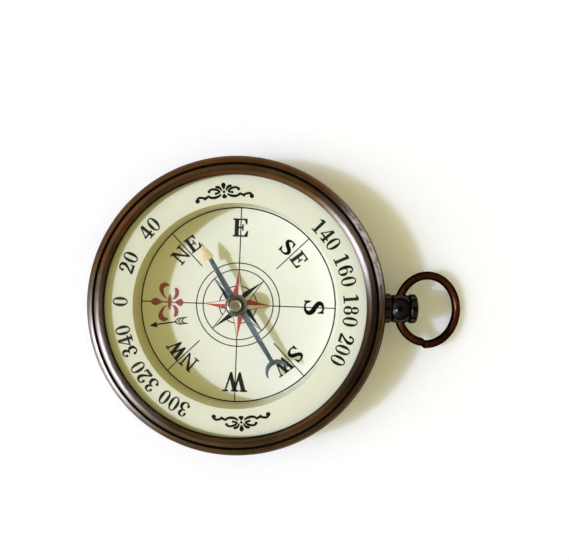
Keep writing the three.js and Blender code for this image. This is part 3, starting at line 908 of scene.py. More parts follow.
def case_profile():
    ledge_under = LEDGE_HEIGHT - LEDGE_THICKNESS
    outer = [(0, 0), (BASE_RADIUS - 0.3, 0)]
    outer += arc(BASE_RADIUS, LOWER_CURVE, LOWER_ACROSS, LOWER_CURVE, -90, 0, 14)
    outer += [(CASE_RADIUS, SHOULDER_FOOT - 0.8)]
    shoulder = arc(GROOVE_RADIUS + 0.2, SHOULDER_FOOT, SHOULDER_ACROSS, SHOULDER_RISE, 0, 90, 18)
    # Painted shade on the shoulder's sideways flank; its top is marked as worn.
    outer += darkened(shoulder, full=20, none=50, worn=0.6)
    # Marks of -1 paint the groove black, as patina and painted shade.
    edge = [(GROOVE_RADIUS, SHOULDER_TOP - 0.2, -1.0), (GROOVE_RADIUS, RIM_HEIGHT, -1.0),
            (BORE_RADIUS, RIM_HEIGHT, -1.0), (BORE_RADIUS, LEDGE_HEIGHT),
            (LEDGE_RADIUS, LEDGE_HEIGHT), (LEDGE_RADIUS, ledge_under),
            (INNER_RADIUS - 0.2, ledge_under), (INNER_RADIUS, ledge_under - 0.2)]
    inner = arc(BASE_RADIUS, LOWER_CURVE, LOWER_INNER, LOWER_CURVE - FLOOR_THICKNESS, 0, -90, 10)
    points = outer + edge + inner + [(0, FLOOR_THICKNESS)]
    return eased(points, {len(outer)}, 0.1, worn=-1.0)


case = turn("case_shell", case_profile(), case_bronze)
carve(case, [drill(name, radius, (start + end) / 2, end - start, PENDANT_HEIGHT)
             for name, radius, (start, end) in (("seat_cutter", SEAT_RADIUS, SEAT_CUT),
                                                ("hole_cutter", SHANK_HOLE, SHANK_CUT))])
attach(case, "case")
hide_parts("case_body")
print("case has", len(case.data.polygons), "faces")

# %% [markdown]
# ## Bezel, glass and gasket
#
# The bezel is a turned ring with a skirt that goes down into the case. Its crown rises to a rounded
# ridge and falls inward to a thin lip that holds the flat glass. Under the glass lies a thin black
# ring of fibre. The dark line inside the lip is painted shade on the bezel, and so is the dark of
# the crown's steep outer flank.

# %% Bezel, glass and gasket
BEZEL_OPENING = 32.3
STACK_RADIUS = 33.25
SKIRT_OUTER = 33.85
SKIRT_INNER = 33.35
CRYSTAL_TOP = 12.2
GASKET_TOP = 11.2
CHAPTER_TOP = 11.0
RIDGE = 33.5
CROWN_TOP = 13.0
# The third numbers of the inner slope are painted shade, darkest at the lip.
INNER_SLOPE = ((33.25, 0.05, 0.0), (33.0, 0.16, -0.15), (32.75, 0.30, -0.5), (32.52, 0.45, -0.88),
               (32.38, 0.58, -0.88))


def bezel_profile():
    skirt_end = LEDGE_HEIGHT + 0.3
    slope_foot = RIM_HEIGHT + 0.35
    # Marks of -1 paint the lip's edge and the groove dark: painted shade at the lip, patina and painted
    # shade in the groove.
    points = [(BEZEL_OPENING, CRYSTAL_TOP, -1.0), (SKIRT_INNER, CRYSTAL_TOP),
              (SKIRT_INNER, skirt_end), (SKIRT_OUTER, skirt_end),
              (SKIRT_OUTER, RIM_HEIGHT, -1.0), (BEZEL_RADIUS, RIM_HEIGHT, -1.0)]
    crown = arc(RIDGE, slope_foot, BEZEL_RADIUS - RIDGE, CROWN_TOP - slope_foot, 0, 90, 18)
    # Painted shade on the crown's steep outer flank.
    points += darkened(crown, full=12, none=62)
    points += [(radius, CROWN_TOP - drop, mark) for radius, drop, mark in INNER_SLOPE]
    points += [(BEZEL_OPENING + 0.02, CRYSTAL_TOP + 0.12, -1.0)]
    return points


bezel = turn("bezel_ring", bezel_profile(), case_bronze, ring=True)
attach(bezel, "case")
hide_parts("bezel")

glass = turn("crystal_pane", [
    (0, GASKET_TOP), (STACK_RADIUS - 0.15, GASKET_TOP), (STACK_RADIUS, GASKET_TOP + 0.15),
    (STACK_RADIUS, CRYSTAL_TOP - 0.15), (STACK_RADIUS - 0.15, CRYSTAL_TOP), (0, CRYSTAL_TOP)],
    crystal_glass, crease=20.0)
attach(glass, "case")
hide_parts("crystal")

gasket = turn("gasket_ring", [
    (STACK_RADIUS - 0.7, CHAPTER_TOP), (STACK_RADIUS, CHAPTER_TOP), (STACK_RADIUS, GASKET_TOP),
    (STACK_RADIUS - 0.7, GASKET_TOP)], gasket_fibre, ring=True)
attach(gasket, "case")
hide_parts("crystal_gasket")
print("bezel has", len(bezel.data.polygons), "faces")

# %% [markdown]
# ## The sunk dial
#
# A spun pan hangs on the case's ledge. The dial card lies on its floor, a strip of card lines its
# wall, and the chapter card covers its flange, so only paper shows. The chapter card's inner edge
# is rounded a little, as a punched edge is, and catches the light.

# %% Pan and cards
WELL_RADIUS = 25.5
DIAL_TOP = 4.6
DIAL_BOTTOM = 4.3
PAN_FLOOR = 3.8
CHAPTER_BOTTOM = 10.7
CARD = 0.3

chapter = turn("chapter_ring", eased([
    (WELL_RADIUS, CHAPTER_BOTTOM), (STACK_RADIUS, CHAPTER_BOTTOM), (STACK_RADIUS, CHAPTER_TOP),
    (WELL_RADIUS, CHAPTER_TOP)], {3}, 0.1, worn=0.0), chapter_paper, ring=True)
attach(chapter, "case")
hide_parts("chapter_card")

pan_inner = WELL_RADIUS + CARD + 0.1
pan = turn("pan_shell", [
    (1.0, PAN_FLOOR), (pan_inner + 0.5, PAN_FLOOR), (pan_inner + 0.5, LEDGE_HEIGHT),
    (STACK_RADIUS, LEDGE_HEIGHT), (STACK_RADIUS, CHAPTER_BOTTOM), (pan_inner, CHAPTER_BOTTOM),
    (pan_inner, DIAL_BOTTOM), (1.0, DIAL_BOTTOM)], pan_tin, facets=192, ring=True)
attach(pan, "case")
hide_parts("dial_pan")

liner = turn("liner_strip", [
    (WELL_RADIUS, DIAL_TOP), (WELL_RADIUS + CARD, DIAL_TOP), (WELL_RADIUS + CARD, CHAPTER_BOTTOM),
    (WELL_RADIUS, CHAPTER_BOTTOM)], liner_paper, ring=True)
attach(liner, "case")
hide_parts("well_liner")

dial = turn("dial_disc", [
    (1.0, DIAL_BOTTOM), (WELL_RADIUS + CARD, DIAL_BOTTOM), (WELL_RADIUS + CARD, DIAL_TOP),
    (1.0, DIAL_TOP)], dial_paper, ring=True)
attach(dial, "case")
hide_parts("dial_card")
print("well is", round(CHAPTER_TOP - DIAL_TOP, 2), "mm deep")

# %% [markdown]
# ## Printed lines
#
# The print is modelled, not painted, as thin faces a hair above the card, so that it stays crisp at
# any size. Circles are turned work with a profile of two points. What repeats round the middle, such
# as the star's points and the diagonal lines, is drawn once and set round by a second small tree.

# %% Round repeat tree
PRINT_LIFT = 0.02


def repeat_tree():
    tree, given, out = new_tree("round_repeat", [
        ("Count", "Int", 4), ("Start", "Float", 0.0), ("Finish", "Material", None)])
    row = add(tree, "GeometryNodeMeshLine")
    link(tree, given.outputs["Count"], row.inputs["Count"])
    row.inputs["Offset"].default_value = (0, 0, 0)
    index = add(tree, "GeometryNodeInputIndex").outputs[0]
    step = math_node(tree, "DIVIDE", 2 * math.pi, given.outputs["Count"])
    angle = plus(tree, times(tree, index, step), given.outputs["Start"])
    turning = add(tree, "ShaderNodeCombineXYZ", in_2=angle)
    spin = add(tree, "FunctionNodeEulerToRotation", in_0=turning.outputs[0])
    copies = add(tree, "GeometryNodeInstanceOnPoints", in_0=row.outputs[0])
    link(tree, given.outputs[0], copies.inputs["Instance"])
    link(tree, spin.outputs[0], copies.inputs["Rotation"])
    finish_tree(tree, copies.outputs[0], given, out)
    return tree


round_repeat = repeat_tree()


def flat_mesh(name, shapes, height):
    """Flat faces from outlines in millimetres, all at one height and facing up."""
    mesh = bpy.data.meshes.new(name)
    shape = bmesh.new()
    for outline in shapes:
        corners = [shape.verts.new((x * MM, y * MM, height * MM)) for x, y in outline]
        face = shape.faces.new(corners)
        face.normal_update()
        if face.normal.z < 0:
            face.normal_flip()
    bmesh.ops.triangulate(shape, faces=[f for f in shape.faces if len(f.verts) > 4])
    shape.to_mesh(mesh)
    shape.free()
    return mesh


def swollen(outline, by):
    """An outline pushed outward on all sides, as ink spreads in paper."""
    turns = sum(a[0] * b[1] - b[0] * a[1] for a, b in zip(outline, outline[1:] + outline[:1]))
    way = 1 if turns > 0 else -1
    out = []
    for i, here in enumerate(outline):
        spot = Vector(here)
        normals = []
        for a, b in ((outline[i - 1], here), (here, outline[(i + 1) % len(outline)])):
            run = Vector((b[0] - a[0], b[1] - a[1]))
            if run.length > 1e-6:
                run.normalize()
                normals.append(Vector((run.y, -run.x)) * way)
        both = sum(normals, Vector((0, 0)))
        reach = min(1.6, 2 / max(both.length, 0.2)) if len(normals) > 1 else 1.0
        out.append(tuple(spot + both.normalized() * by * reach) if both.length > 1e-6 else here)
    return out


def printed(name, shapes, height, finish, swell=0.0):
    """A piece of print that rides on the case."""
    if swell:
        shapes = [swollen(list(outline), swell) for outline in shapes]
    piece = shown(name, flat_mesh(name, shapes, height))
    piece.data.materials.append(finish)
    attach(piece, "case")
    return piece


def printed_ring(name, radius, width, height, finish):
    piece = turn(name, [(radius - width / 2, height), (radius + width / 2, height)], finish, facets=180)
    face_up(piece)
    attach(piece, "case")
    return piece


def face_up(piece):
    for face in piece.data.polygons:
        if face.normal.z < 0:
            face.flip()


def repeated(name, shapes, height, count, start, finish):
    piece = run_tree(name, flat_mesh(name, shapes, height), round_repeat,
                     {"Count": count, "Start": math.radians(start), "Finish": finish})
    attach(piece, "case")
    return piece


# %% [markdown]
# The dial's own zero, north, points almost straight against the pendant. Everything printed on the
# dial is turned from that one bearing.

# %% Dial lines and circles
NORTH = 179.0
LINE = 0.27
DIAL_PRINT = DIAL_TOP + PRINT_LIFT


def band(x0, y0, x1, y1, width):
    """A straight line of some width as one outline."""
    run = Vector((x1 - x0, y1 - y0))
    side = Vector((-run.y, run.x)).normalized() * width / 2
    return [(x0 + side.x, y0 + side.y), (x0 - side.x, y0 - side.y), (x1 - side.x, y1 - side.y),
            (x1 + side.x, y1 + side.y)]


printed_ring("dial_circle_outer", 25.15, 0.36, DIAL_PRINT, black_ink)
printed_ring("dial_circle_double_out", 10.8, LINE, DIAL_PRINT, black_ink)
printed_ring("dial_circle_double_in", 9.08, LINE, DIAL_PRINT, black_ink)
printed_ring("dial_circle_small", 4.85, LINE, DIAL_PRINT, black_ink)
repeated("dial_cross_lines", [band(8.6, 0, 25.1, 0, LINE)], DIAL_PRINT, 4, NORTH, black_ink)
repeated("dial_diagonal_lines", [band(13.6, 0, 25.1, 0, LINE)], DIAL_PRINT, 4, NORTH + 45, black_ink)

# %% [markdown]
# The star has eight points. Each is split along its middle: the half on the left, looking outward,
# is filled, and the other is left open with a thin outline. Cardinal points are red and lie over
# the black ones, so they are printed a hair higher.

# %% Star
POINT_EDGE = ((3.1, 1.42), (5.0, 0.86), (6.7, 0.46))
OPEN_SHARE = 0.82
STEP = 0.006


def star_point(tip, line):
    """The filled half and the outline of the open half of one point along +X."""
    filled = [(0.0, 0.0), (tip, 0.0)] + [(r, w) for r, w in reversed(POINT_EDGE)]
    edge = [(0.0, 0.0)] + [(r, -w * OPEN_SHARE) for r, w in POINT_EDGE] + [(tip, -line * 0.2)]
    return [filled] + [band(*a, *b, line) for a, b in zip(edge, edge[1:])]


def open_half(tip):
    return [(0.0, 0.0)] + [(r, -w * OPEN_SHARE) for r, w in POINT_EDGE] + [(tip, 0.0)]


repeated("star_open_diagonal", [open_half(9.08)], DIAL_PRINT + STEP, 4, NORTH + 45, dial_paper)
repeated("star_black", star_point(9.08, 0.2), DIAL_PRINT + 2 * STEP, 4, NORTH + 45, black_ink)
repeated("star_open_cardinal", [open_half(8.9)], DIAL_PRINT + 3 * STEP, 4, NORTH, dial_paper)
repeated("star_red", star_point(8.9, 0.18), DIAL_PRINT + 4 * STEP, 4, NORTH, red_ink)

# %% [markdown]
# ## Letters and figures
#
# No font is read: each sign is drawn from strokes, as a pen would. A stroke follows a path and has a
# width at each of its points, which gives the thick and thin of a bold book face; serifs are small
# slabs, and some strokes end in a ball. Cap height is 1 and the baseline is 0.

# %% Stroke helpers
STROKE_STEPS = 8
BALL_CORNERS = 14
LOOP_STEPS = 36


def smooth_path(points):
    """A smooth run of (x, y, width) through the given ones."""
    ends = [points[0]] + list(points) + [points[-1]]
    out = []
    for i in range(1, len(ends) - 2):
        for step in range(STROKE_STEPS):
            t = step / STROKE_STEPS
            spot = []
            for a, b, c, d in zip(ends[i - 1], ends[i], ends[i + 1], ends[i + 2]):
                spot.append(0.5 * (2 * b + (c - a) * t + (2 * a - 5 * b + 4 * c - d) * t * t
                                   + (3 * b - a - 3 * c + d) * t * t * t))
            out.append(tuple(spot))
    out.append(tuple(points[-1]))
    return out


def stroke(points):
    """A smooth stroke of changing width, as four-sided outlines."""
    path = smooth_path(points)
    sides = []
    for i, (x, y, width) in enumerate(path):
        before = path[max(i - 1, 0)]
        after = path[min(i + 1, len(path) - 1)]
        run = Vector((after[0] - before[0], after[1] - before[1])).normalized()
        sides.append(((x - run.y * width / 2, y + run.x * width / 2),
                      (x + run.y * width / 2, y - run.x * width / 2)))
    return [[a[0], a[1], b[1], b[0]] for a, b in zip(sides, sides[1:])]


def bar(x0, y0, x1, y1):
    return [(x0, y0), (x1, y0), (x1, y1), (x0, y1)]


def ball(x, y, radius):
    corners = []
    for i in range(BALL_CORNERS):
        angle = 2 * math.pi * i / BALL_CORNERS
        corners.append((x + radius * math.cos(angle), y + radius * math.sin(angle)))
    return corners


def loop(x, y, across, along, thick, thin):
    """A closed oval stroke, thick at its sides and thin at its top and bottom."""
    out = []
    for i in range(LOOP_STEPS):
        ring = []
        for j in (i, i + 1):
            angle = 2 * math.pi * j / LOOP_STEPS
            c, s = math.cos(angle), math.sin(angle)
            width = thin + (thick - thin) * abs(c) ** 1.5
            ring.append(((x + across * c, y + along * s),
                         (x + (across - width) * c, y + (along - thin - (width - thin) * 0.15) * s)))
        out.append([ring[0][0], ring[1][0], ring[1][1], ring[0][1]])
    return out


SERIF = 0.055
THICK = 0.2

# %% Letters
def letter_n():
    stem = 0.075
    return [bar(0.12, SERIF, 0.12 + stem, 1), bar(0.77, 0.0, 0.77 + stem, 1 - SERIF),
            [(0.05, 1), (0.27, 1), (0.845, 0.0), (0.77, 0.0), (0.12, 0.93)],
            bar(0.0, 0, 0.32, SERIF), bar(0.65, 1 - SERIF, 0.97, 1), bar(-0.02, 1 - SERIF, 0.2, 1)]


def letter_e():
    return [bar(0.1, 0, 0.1 + THICK, 1), bar(0.0, 0, 0.1, SERIF), bar(0.0, 1 - SERIF, 0.1, 1),
            bar(0.3, 0, 0.8, SERIF), bar(0.3, 1 - SERIF, 0.78, 1), bar(0.3, 0.48, 0.56, 0.48 + SERIF),
            [(0.78, 1), (0.66, 0.95), (0.73, 0.72), (0.78, 0.72)],
            [(0.8, 0), (0.84, 0.31), (0.79, 0.31), (0.66, 0.05)],
            [(0.52, 0.35), (0.57, 0.35), (0.57, 0.68), (0.52, 0.68)]]


def letter_s():
    spine = [(0.58, 0.80, 0.05), (0.5, 0.94, 0.06), (0.32, 0.975, 0.07), (0.15, 0.88, 0.15),
             (0.13, 0.72, 0.19), (0.32, 0.55, 0.21), (0.52, 0.42, 0.21), (0.6, 0.24, 0.18),
             (0.5, 0.08, 0.12), (0.3, 0.025, 0.06), (0.13, 0.07, 0.06), (0.04, 0.24, 0.05)]
    return stroke(spine) + [[(0.56, 1.0), (0.61, 1.0), (0.61, 0.68), (0.56, 0.74)],
                            [(0.0, 0.0), (0.05, 0.0), (0.07, 0.26), (0.0, 0.33)]]


def letter_w():
    return [[(0.1, 1), (0.32, 1), (0.56, 0.22), (0.5, 0.0), (0.42, 0.0)],
            [(0.42, 0.0), (0.5, 0.0), (0.73, 0.78), (0.7, 0.93), (0.66, 0.86)],
            [(0.6, 1), (0.82, 1), (1.05, 0.22), (1.0, 0.0), (0.92, 0.0)],
            [(0.92, 0.0), (1.0, 0.0), (1.3, 0.97), (1.24, 0.97)],
            bar(0.02, 1 - SERIF, 0.42, 1), bar(0.52, 1 - SERIF, 0.92, 1), bar(1.12, 1 - SERIF, 1.42, 1)]


# %% Figures
def figure_0():
    return loop(0.34, 0.5, 0.31, 0.5, 0.17, 0.045)


def figure_1():
    return [bar(0.26, 0, 0.44, 1), bar(0.1, 0, 0.6, SERIF),
            [(0.26, 0.86), (0.26, 0.96), (0.44, 1.0), (0.26, 1.0), (0.08, 0.88), (0.08, 0.84)]]


def figure_2():
    hook = [(0.12, 0.74, 0.08), (0.17, 0.9, 0.07), (0.34, 0.97, 0.07), (0.52, 0.88, 0.15),
            (0.54, 0.68, 0.18), (0.42, 0.46, 0.12), (0.22, 0.24, 0.08), (0.1, 0.1, 0.08)]
    return stroke(hook) + [ball(0.14, 0.72, 0.085), bar(0.05, 0, 0.6, 0.14),
                           [(0.56, 0.0), (0.62, 0.0), (0.64, 0.27), (0.6, 0.27)]]


def figure_3():
    top = [(0.13, 0.79, 0.07), (0.2, 0.93, 0.06), (0.34, 0.975, 0.06), (0.5, 0.88, 0.14),
           (0.5, 0.7, 0.15), (0.36, 0.55, 0.06), (0.24, 0.53, 0.05)]
    low = [(0.24, 0.53, 0.05), (0.4, 0.52, 0.07), (0.56, 0.4, 0.16), (0.56, 0.18, 0.17),
           (0.4, 0.03, 0.07), (0.22, 0.03, 0.06), (0.1, 0.16, 0.07)]
    return stroke(top) + stroke(low) + [ball(0.15, 0.77, 0.08), ball(0.12, 0.2, 0.085)]


def figure_4():
    return [bar(0.4, 0, 0.57, 1), bar(0.26, 0, 0.7, SERIF), bar(0.02, 0.25, 0.7, 0.25 + 0.09),
            [(0.4, 1.0), (0.47, 1.0), (0.11, 0.34), (0.02, 0.28)]]


def figure_6():
    back = [(0.53, 0.83, 0.06), (0.47, 0.94, 0.05), (0.35, 0.965, 0.07), (0.2, 0.86, 0.13),
            (0.13, 0.62, 0.17), (0.12, 0.4, 0.17)]
    return stroke(back) + loop(0.35, 0.31, 0.3, 0.31, 0.17, 0.045) + [ball(0.53, 0.8, 0.07)]


def figure_8():
    return loop(0.34, 0.75, 0.24, 0.25, 0.14, 0.045) + loop(0.34, 0.28, 0.29, 0.285, 0.165, 0.045)


SIGNS = {"N": (letter_n(), 0.96), "E": (letter_e(), 0.86), "S": (letter_s(), 0.66),
         "W": (letter_w(), 1.42), "0": (figure_0(), 0.68), "1": (figure_1(), 0.68),
         "2": (figure_2(), 0.68), "3": (figure_3(), 0.68), "4": (figure_4(), 0.72),
         "6": (figure_6(), 0.68), "8": (figure_8(), 0.68)}
print("signs drawn:", " ".join(SIGNS))

# %% [markdown]
# A sign stands on a circle with its top outward. Its middle is placed at an angle and a radius, and
# its width may be pressed or stretched a little, as the real print's letters are.

# %% Setting letters round the dial
def set_sign(sign, angle, base_radius, height, stretch=1.0):
    """The outlines of a sign whose foot stands on a circle and whose top points outward."""
    shapes, width = SIGNS[sign]
    out = Vector((math.cos(math.radians(angle)), math.sin(math.radians(angle))))
    right = Vector((out.y, -out.x))
    placed_shapes = []
    for outline in shapes:
        spots = []
        for x, y in outline:
            across = (x - width / 2) * height * stretch
            spots.append(tuple(out * (base_radius + y * height) + right * across))
        placed_shapes.append(spots)
    return placed_shapes


dial_letters = []
dial_letters += set_sign("E", NORTH - 90, 17.7, 4.56)
dial_letters += set_sign("S", NORTH - 180, 17.2, 5.0, 1.05)
dial_letters += set_sign("W", NORTH + 90, 17.6, 4.9, 0.92)
for first, second, bearing in (("N", "E", 45), ("S", "E", 135), ("S", "W", 225), ("N", "W", 315)):
    middle = NORTH - bearing
    dial_letters += set_sign(first, middle + 6.4, 17.75, 3.85, 1.0 if first == "N" else 1.05)
    dial_letters += set_sign(second, middle - 6.4, 17.75, 3.85, 0.95 if second == "E" else 0.9)
printed("dial_letters", dial_letters, DIAL_PRINT + STEP, black_ink, swell=0.085)

FIGURE_FOOT, FIGURE_HEIGHT = 26.8, 3.65
FIGURE_PITCH = math.degrees(2.8 / (FIGURE_FOOT + 1.8))
chapter_figures = []
for bearing in (300, 320, 340, 0, 20, 40, 140, 160, 180, 200):
    text = str(bearing)
    for i, sign in enumerate(text):
        lean = FIGURE_PITCH * (i - (len(text) - 1) / 2)
        chapter_figures += set_sign(sign, NORTH - bearing - lean, FIGURE_FOOT, FIGURE_HEIGHT)
printed("chapter_figures", chapter_figures, CHAPTER_TOP + PRINT_LIFT, black_ink, swell=0.06)
print("outlines in the letters:", len(dial_letters), "and in the figures:", len(chapter_figures))

# %% [markdown]
# ## North mark, arrow and scroll ornaments
#
# North carries a fleur-de-lis, the old sign of the chart makers, built of leaf shapes mirrored about
# the north line. Beside it a small feathered arrow shows how far the needle stands off true north.
# Two scroll ornaments fill the chapter ring above and below. All are drawn once on one side of
# their middle line and mirrored.

# %% Leaf helper and fleur
def mirrored(shapes):
    return [[(x, -y) for x, y in outline] for outline in shapes]


def on_dial(shapes, bearing_angle):
    """Turns outlines drawn along +X to an angle of the dial."""
    c, s = math.cos(math.radians(bearing_angle)), math.sin(math.radians(bearing_angle))
    return [[(x * c - y * s, x * s + y * c) for x, y in outline] for outline in shapes]


def fleur():
    middle = 17.8
    one_side = []
    one_side += stroke([(0.62, 0.86, 0.12), (1.2, 1.2, 0.3), (1.68, 1.75, 0.6), (2.1, 2.6, 0.9),
                        (2.28, 3.4, 1.15), (2.0, 4.1, 1.4), (1.3, 4.5, 1.15), (0.6, 4.42, 0.6),
                        (0.15, 4.25, 0.08)])
    one_side += stroke([(-0.62, 0.78, 0.16), (-1.2, 1.05, 0.55), (-1.7, 1.75, 0.95),
                        (-1.85, 2.5, 1.05), (-1.7, 3.2, 0.95), (-1.3, 3.75, 0.35)])
    centre = stroke([(1.7, 0, 0.1), (2.5, 0, 1.0), (3.3, 0, 1.85), (3.75, 0, 1.96), (4.4, 0, 1.5),
                     (5.04, 0, 0.1)])
    centre += stroke([(-1.2, 0, 0.1), (-2.0, 0, 1.1), (-2.7, 0, 1.96), (-3.25, 0, 1.5),
                      (-3.65, 0, 0.2)])
    centre += stroke([(0, -2.2, 0.08), (0, -1.2, 0.78), (0, 0, 1.04), (0, 1.2, 0.78), (0, 2.2, 0.08)])
    shapes = one_side + mirrored(one_side) + centre
    return [[(x + middle, y) for x, y in outline] for outline in shapes]


printed("north_fleur", on_dial(fleur(), NORTH), DIAL_PRINT + STEP, fleur_ink)


def small_arrow():
    shapes = [[(-22.95, -5.95), (-20.9, -6.3), (-21.15, -5.6), (-21.25, -4.95)],
              band(-21.3, -5.6, -16.0, -4.75, 0.24)]
    run = Vector((5.3, 0.85)).normalized()
    side = Vector((-run.y, run.x))
    for i in range(3):
        root = Vector((-16.3, -4.8)) + run * (i * 0.85)
        for way in (1, -1):
            tip = root + run * 1.55 + side * way * 0.8
            curve = [(*root, 0.16)]
            for t in (0.35, 0.7):
                spot = root + (tip - root) * t + side * way * 0.28 * math.sin(math.pi * t)
                curve.append((*spot, 0.16))
            shapes += stroke(curve + [(*tip, 0.1)])
    return shapes


printed("dial_arrow", small_arrow(), DIAL_PRINT + STEP, black_ink, swell=0.06)

# %% Scroll ornaments
def scroll():
    """Half of the ornament and its middle, with x across to the right and y outward."""
    half = []
    half += stroke([(0.55, 0.35, 0.12), (0.83, 0.88, 0.26), (1.3, 1.22, 0.42), (1.84, 1.29, 0.3)])
    half += stroke([(1.95, -0.26, 0.2), (1.3, -0.08, 0.26), (1.16, 0.2, 0.28), (1.6, 0.58, 0.3),
                    (2.48, 0.82, 0.3), (3.2, 0.74, 0.26), (3.57, 0.35, 0.3)])
    half += [ball(1.95, -0.26, 0.19), ball(3.57, 0.35, 0.24)]
    half += stroke([(0.83, -0.6, 0.14), (1.5, -1.02, 0.34), (2.42, -1.23, 0.4),
                    (3.3, -1.12, 0.3), (3.78, -0.78, 0.26), (4.3, -1.05, 0.34), (4.87, -1.4, 0.3)])
    half += stroke([(4.5, -1.15, 0.2), (5.2, -0.99, 0.3), (5.95, -0.9, 0.32), (6.4, -1.1, 0.3),
                    (6.6, -1.69, 0.4)])
    half += [ball(6.55, -1.66, 0.42)]
    middle = stroke([(0, 0.75, 0.1), (0, 1.3, 0.62), (0, 1.75, 0.8), (0, 2.09, 0.3)])
    middle += stroke([(0, -0.6, 0.1), (0, -0.95, 0.7), (0, -1.25, 0.95), (0, -1.43, 0.4)])
    middle += [ball(0, 0, 0.2)]
    return half + [[(-x, y) for x, y in outline] for outline in half] + middle


ORNAMENT_SCALE = 1.03


def set_ornament(angle, radius):
    out = Vector((math.cos(math.radians(angle)), math.sin(math.radians(angle))))
    right = Vector((out.y, -out.x))
    return [[tuple(out * (radius + y * ORNAMENT_SCALE) + right * x * ORNAMENT_SCALE)
             for x, y in outline]
            for outline in scroll()]


printed("chapter_ornaments", set_ornament(96.7, 28.35) + set_ornament(274.15, 28.8),
        CHAPTER_TOP + PRINT_LIFT, black_ink, swell=0.13)

# %% [markdown]
# ## Pivot
#
# A flanged brass post goes down through the card and the pan and is held by a washer and a nut, and
# a steel pin with a fine point stands in it. The post and the pin are turned finer than the solids;
# the washers, the nuts and the jewel are hardly seen, so they keep their solids and take a finish.

# %% Post and pin
bush = turn("bush_post", eased([
    (0, 1.9), (0.9, 1.9), (0.9, DIAL_TOP), (1.8, DIAL_TOP), (1.8, DIAL_TOP + 0.5),
    (1.1, DIAL_TOP + 0.5), (1.1, 6.4), (0.5, 6.4), (0.5, 3.8), (0, 3.8)], {4, 6}, 0.12),
    plain_brass, facets=64)
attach(bush, "case")
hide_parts("pivot_bush")

pin_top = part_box("pivot_pin")[1].z / MM
pin = turn("pin_point",
           [(0, 3.8), (0.4, 3.8), (0.4, pin_top - 1.6), (0.03, pin_top - 0.06), (0, pin_top)],
           pin_steel, facets=48, crease=60.0)
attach(pin, "case")
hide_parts("pivot_pin")

# %% Solids that keep their own mesh
def dress_node(name, finish):
    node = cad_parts[name]
    node.data.materials.clear()
    node.data.materials.append(finish)


for name in ("pivot_washer", "pivot_nut", "pendant_washer", "pendant_nut"):
    dress_node(name, plain_brass)
dress_node("needle_jewel", jewel)
print("kept solids: washers, nuts and jewel")

# %% [markdown]
# ## Needle
#
# The needle is cut from thin steel: a barbed arrow head for north, two tapered arms that meet in an
# eye, and a crescent for south, whose arm runs a little to one side. The outline is followed point
# by point, and a flat curve with a small bevel gives it thickness and soft edges. It becomes a mesh
# before it is turned to its heading.

# %% Needle outline
HEADING = math.radians(120.6)
BLADE_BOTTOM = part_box("needle_blade")[0].z / MM
BLADE_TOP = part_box("needle_blade")[1].z / MM
NORTH_REACH, SOUTH_REACH = 18.15, 16.5
HEAD_LENGTH, HEAD_HALF, HEAD_SKEW, HEAD_WAIST, TAIL_SHIFT = 4.35, 1.45, 0.4, 1.05, 0.75
CRESCENT_OUTER, CRESCENT_INNER = 3.0, 2.75
CAP_RADIUS = 1.5


def swing(x, y, radius, start, end, steps):
    return [(x + radius * math.cos(start + (end - start) * i / steps),
             y + radius * math.sin(start + (end - start) * i / steps)) for i in range(steps + 1)]


def bow_line(a, control, b, steps):
    out = []
    for i in range(steps + 1):
        t = i / steps
        out.append(tuple((1 - t) ** 2 * p + 2 * t * (1 - t) * q + t * t * r
                         for p, q, r in zip(a, control, b)))
    return out


def needle_outline():
    tip_half, root_half, eye = 0.55, 0.78, 2.35
    head_back = NORTH_REACH - HEAD_LENGTH
    waist = NORTH_REACH - HEAD_LENGTH * 0.6
    eye_side = math.sqrt(eye ** 2 - root_half ** 2)
    eye_angle = math.asin(root_half / eye)
    near = math.asin((root_half - TAIL_SHIFT * 0.65) / eye)
    far = math.asin((root_half + TAIL_SHIFT * 0.65) / eye)
    crescent = -SOUTH_REACH - CRESCENT_OUTER
    inner = -SOUTH_REACH - 1.25 - CRESCENT_INNER
    joint = math.asin(tip_half / CRESCENT_OUTER)
    horn, inner_horn = math.radians(95), math.radians(80)
    points = bow_line((NORTH_REACH, 0), (waist, HEAD_SKEW + HEAD_WAIST),
                      (head_back, HEAD_SKEW + HEAD_HALF), 10)
    points += [(head_back - 0.3, tip_half), (eye_side, root_half)]
    points += swing(0, 0, eye, eye_angle, math.pi - near, 20)
    points += swing(crescent, -TAIL_SHIFT, CRESCENT_OUTER, joint, horn, 16)
    points += swing(inner, -TAIL_SHIFT, CRESCENT_INNER, inner_horn, -inner_horn, 24)
    points += swing(crescent, -TAIL_SHIFT, CRESCENT_OUTER, -horn, -joint, 16)
    points += swing(0, 0, eye, math.pi + far, 2 * math.pi - eye_angle, 20)
    points += [(head_back - 0.3, -tip_half)]
    points += bow_line((head_back, HEAD_SKEW - HEAD_HALF), (waist, HEAD_SKEW - HEAD_WAIST),
                       (NORTH_REACH, 0), 10)[:-1]
    return points


def plate(name, outlines, bottom, top, bevel):
    """A flat plate with softened edges from closed outlines; the later ones are holes."""
    flat = bpy.data.curves.new(name, "CURVE")
    flat.dimensions = "2D"
    flat.fill_mode = "BOTH"
    for outline in outlines:
        line = flat.splines.new("POLY")
        line.points.add(len(outline) - 1)
        for point, (x, y) in zip(line.points, outline):
            point.co = (x * MM, y * MM, 0, 1)
        line.use_cyclic_u = True
    flat.extrude = ((top - bottom) / 2 - bevel) * MM
    flat.bevel_depth = bevel * MM
    flat.bevel_resolution = 2
    flat.offset = -bevel * MM
    holder = shown(name + "_curve", flat)
    mesh = made_mesh(holder)
    bpy.data.objects.remove(holder)
    mesh.transform(Matrix.Translation((0, 0, (top + bottom) / 2 * MM)))
    mesh.name = name
    return tidy_mesh(shown(name, mesh), 40.0)


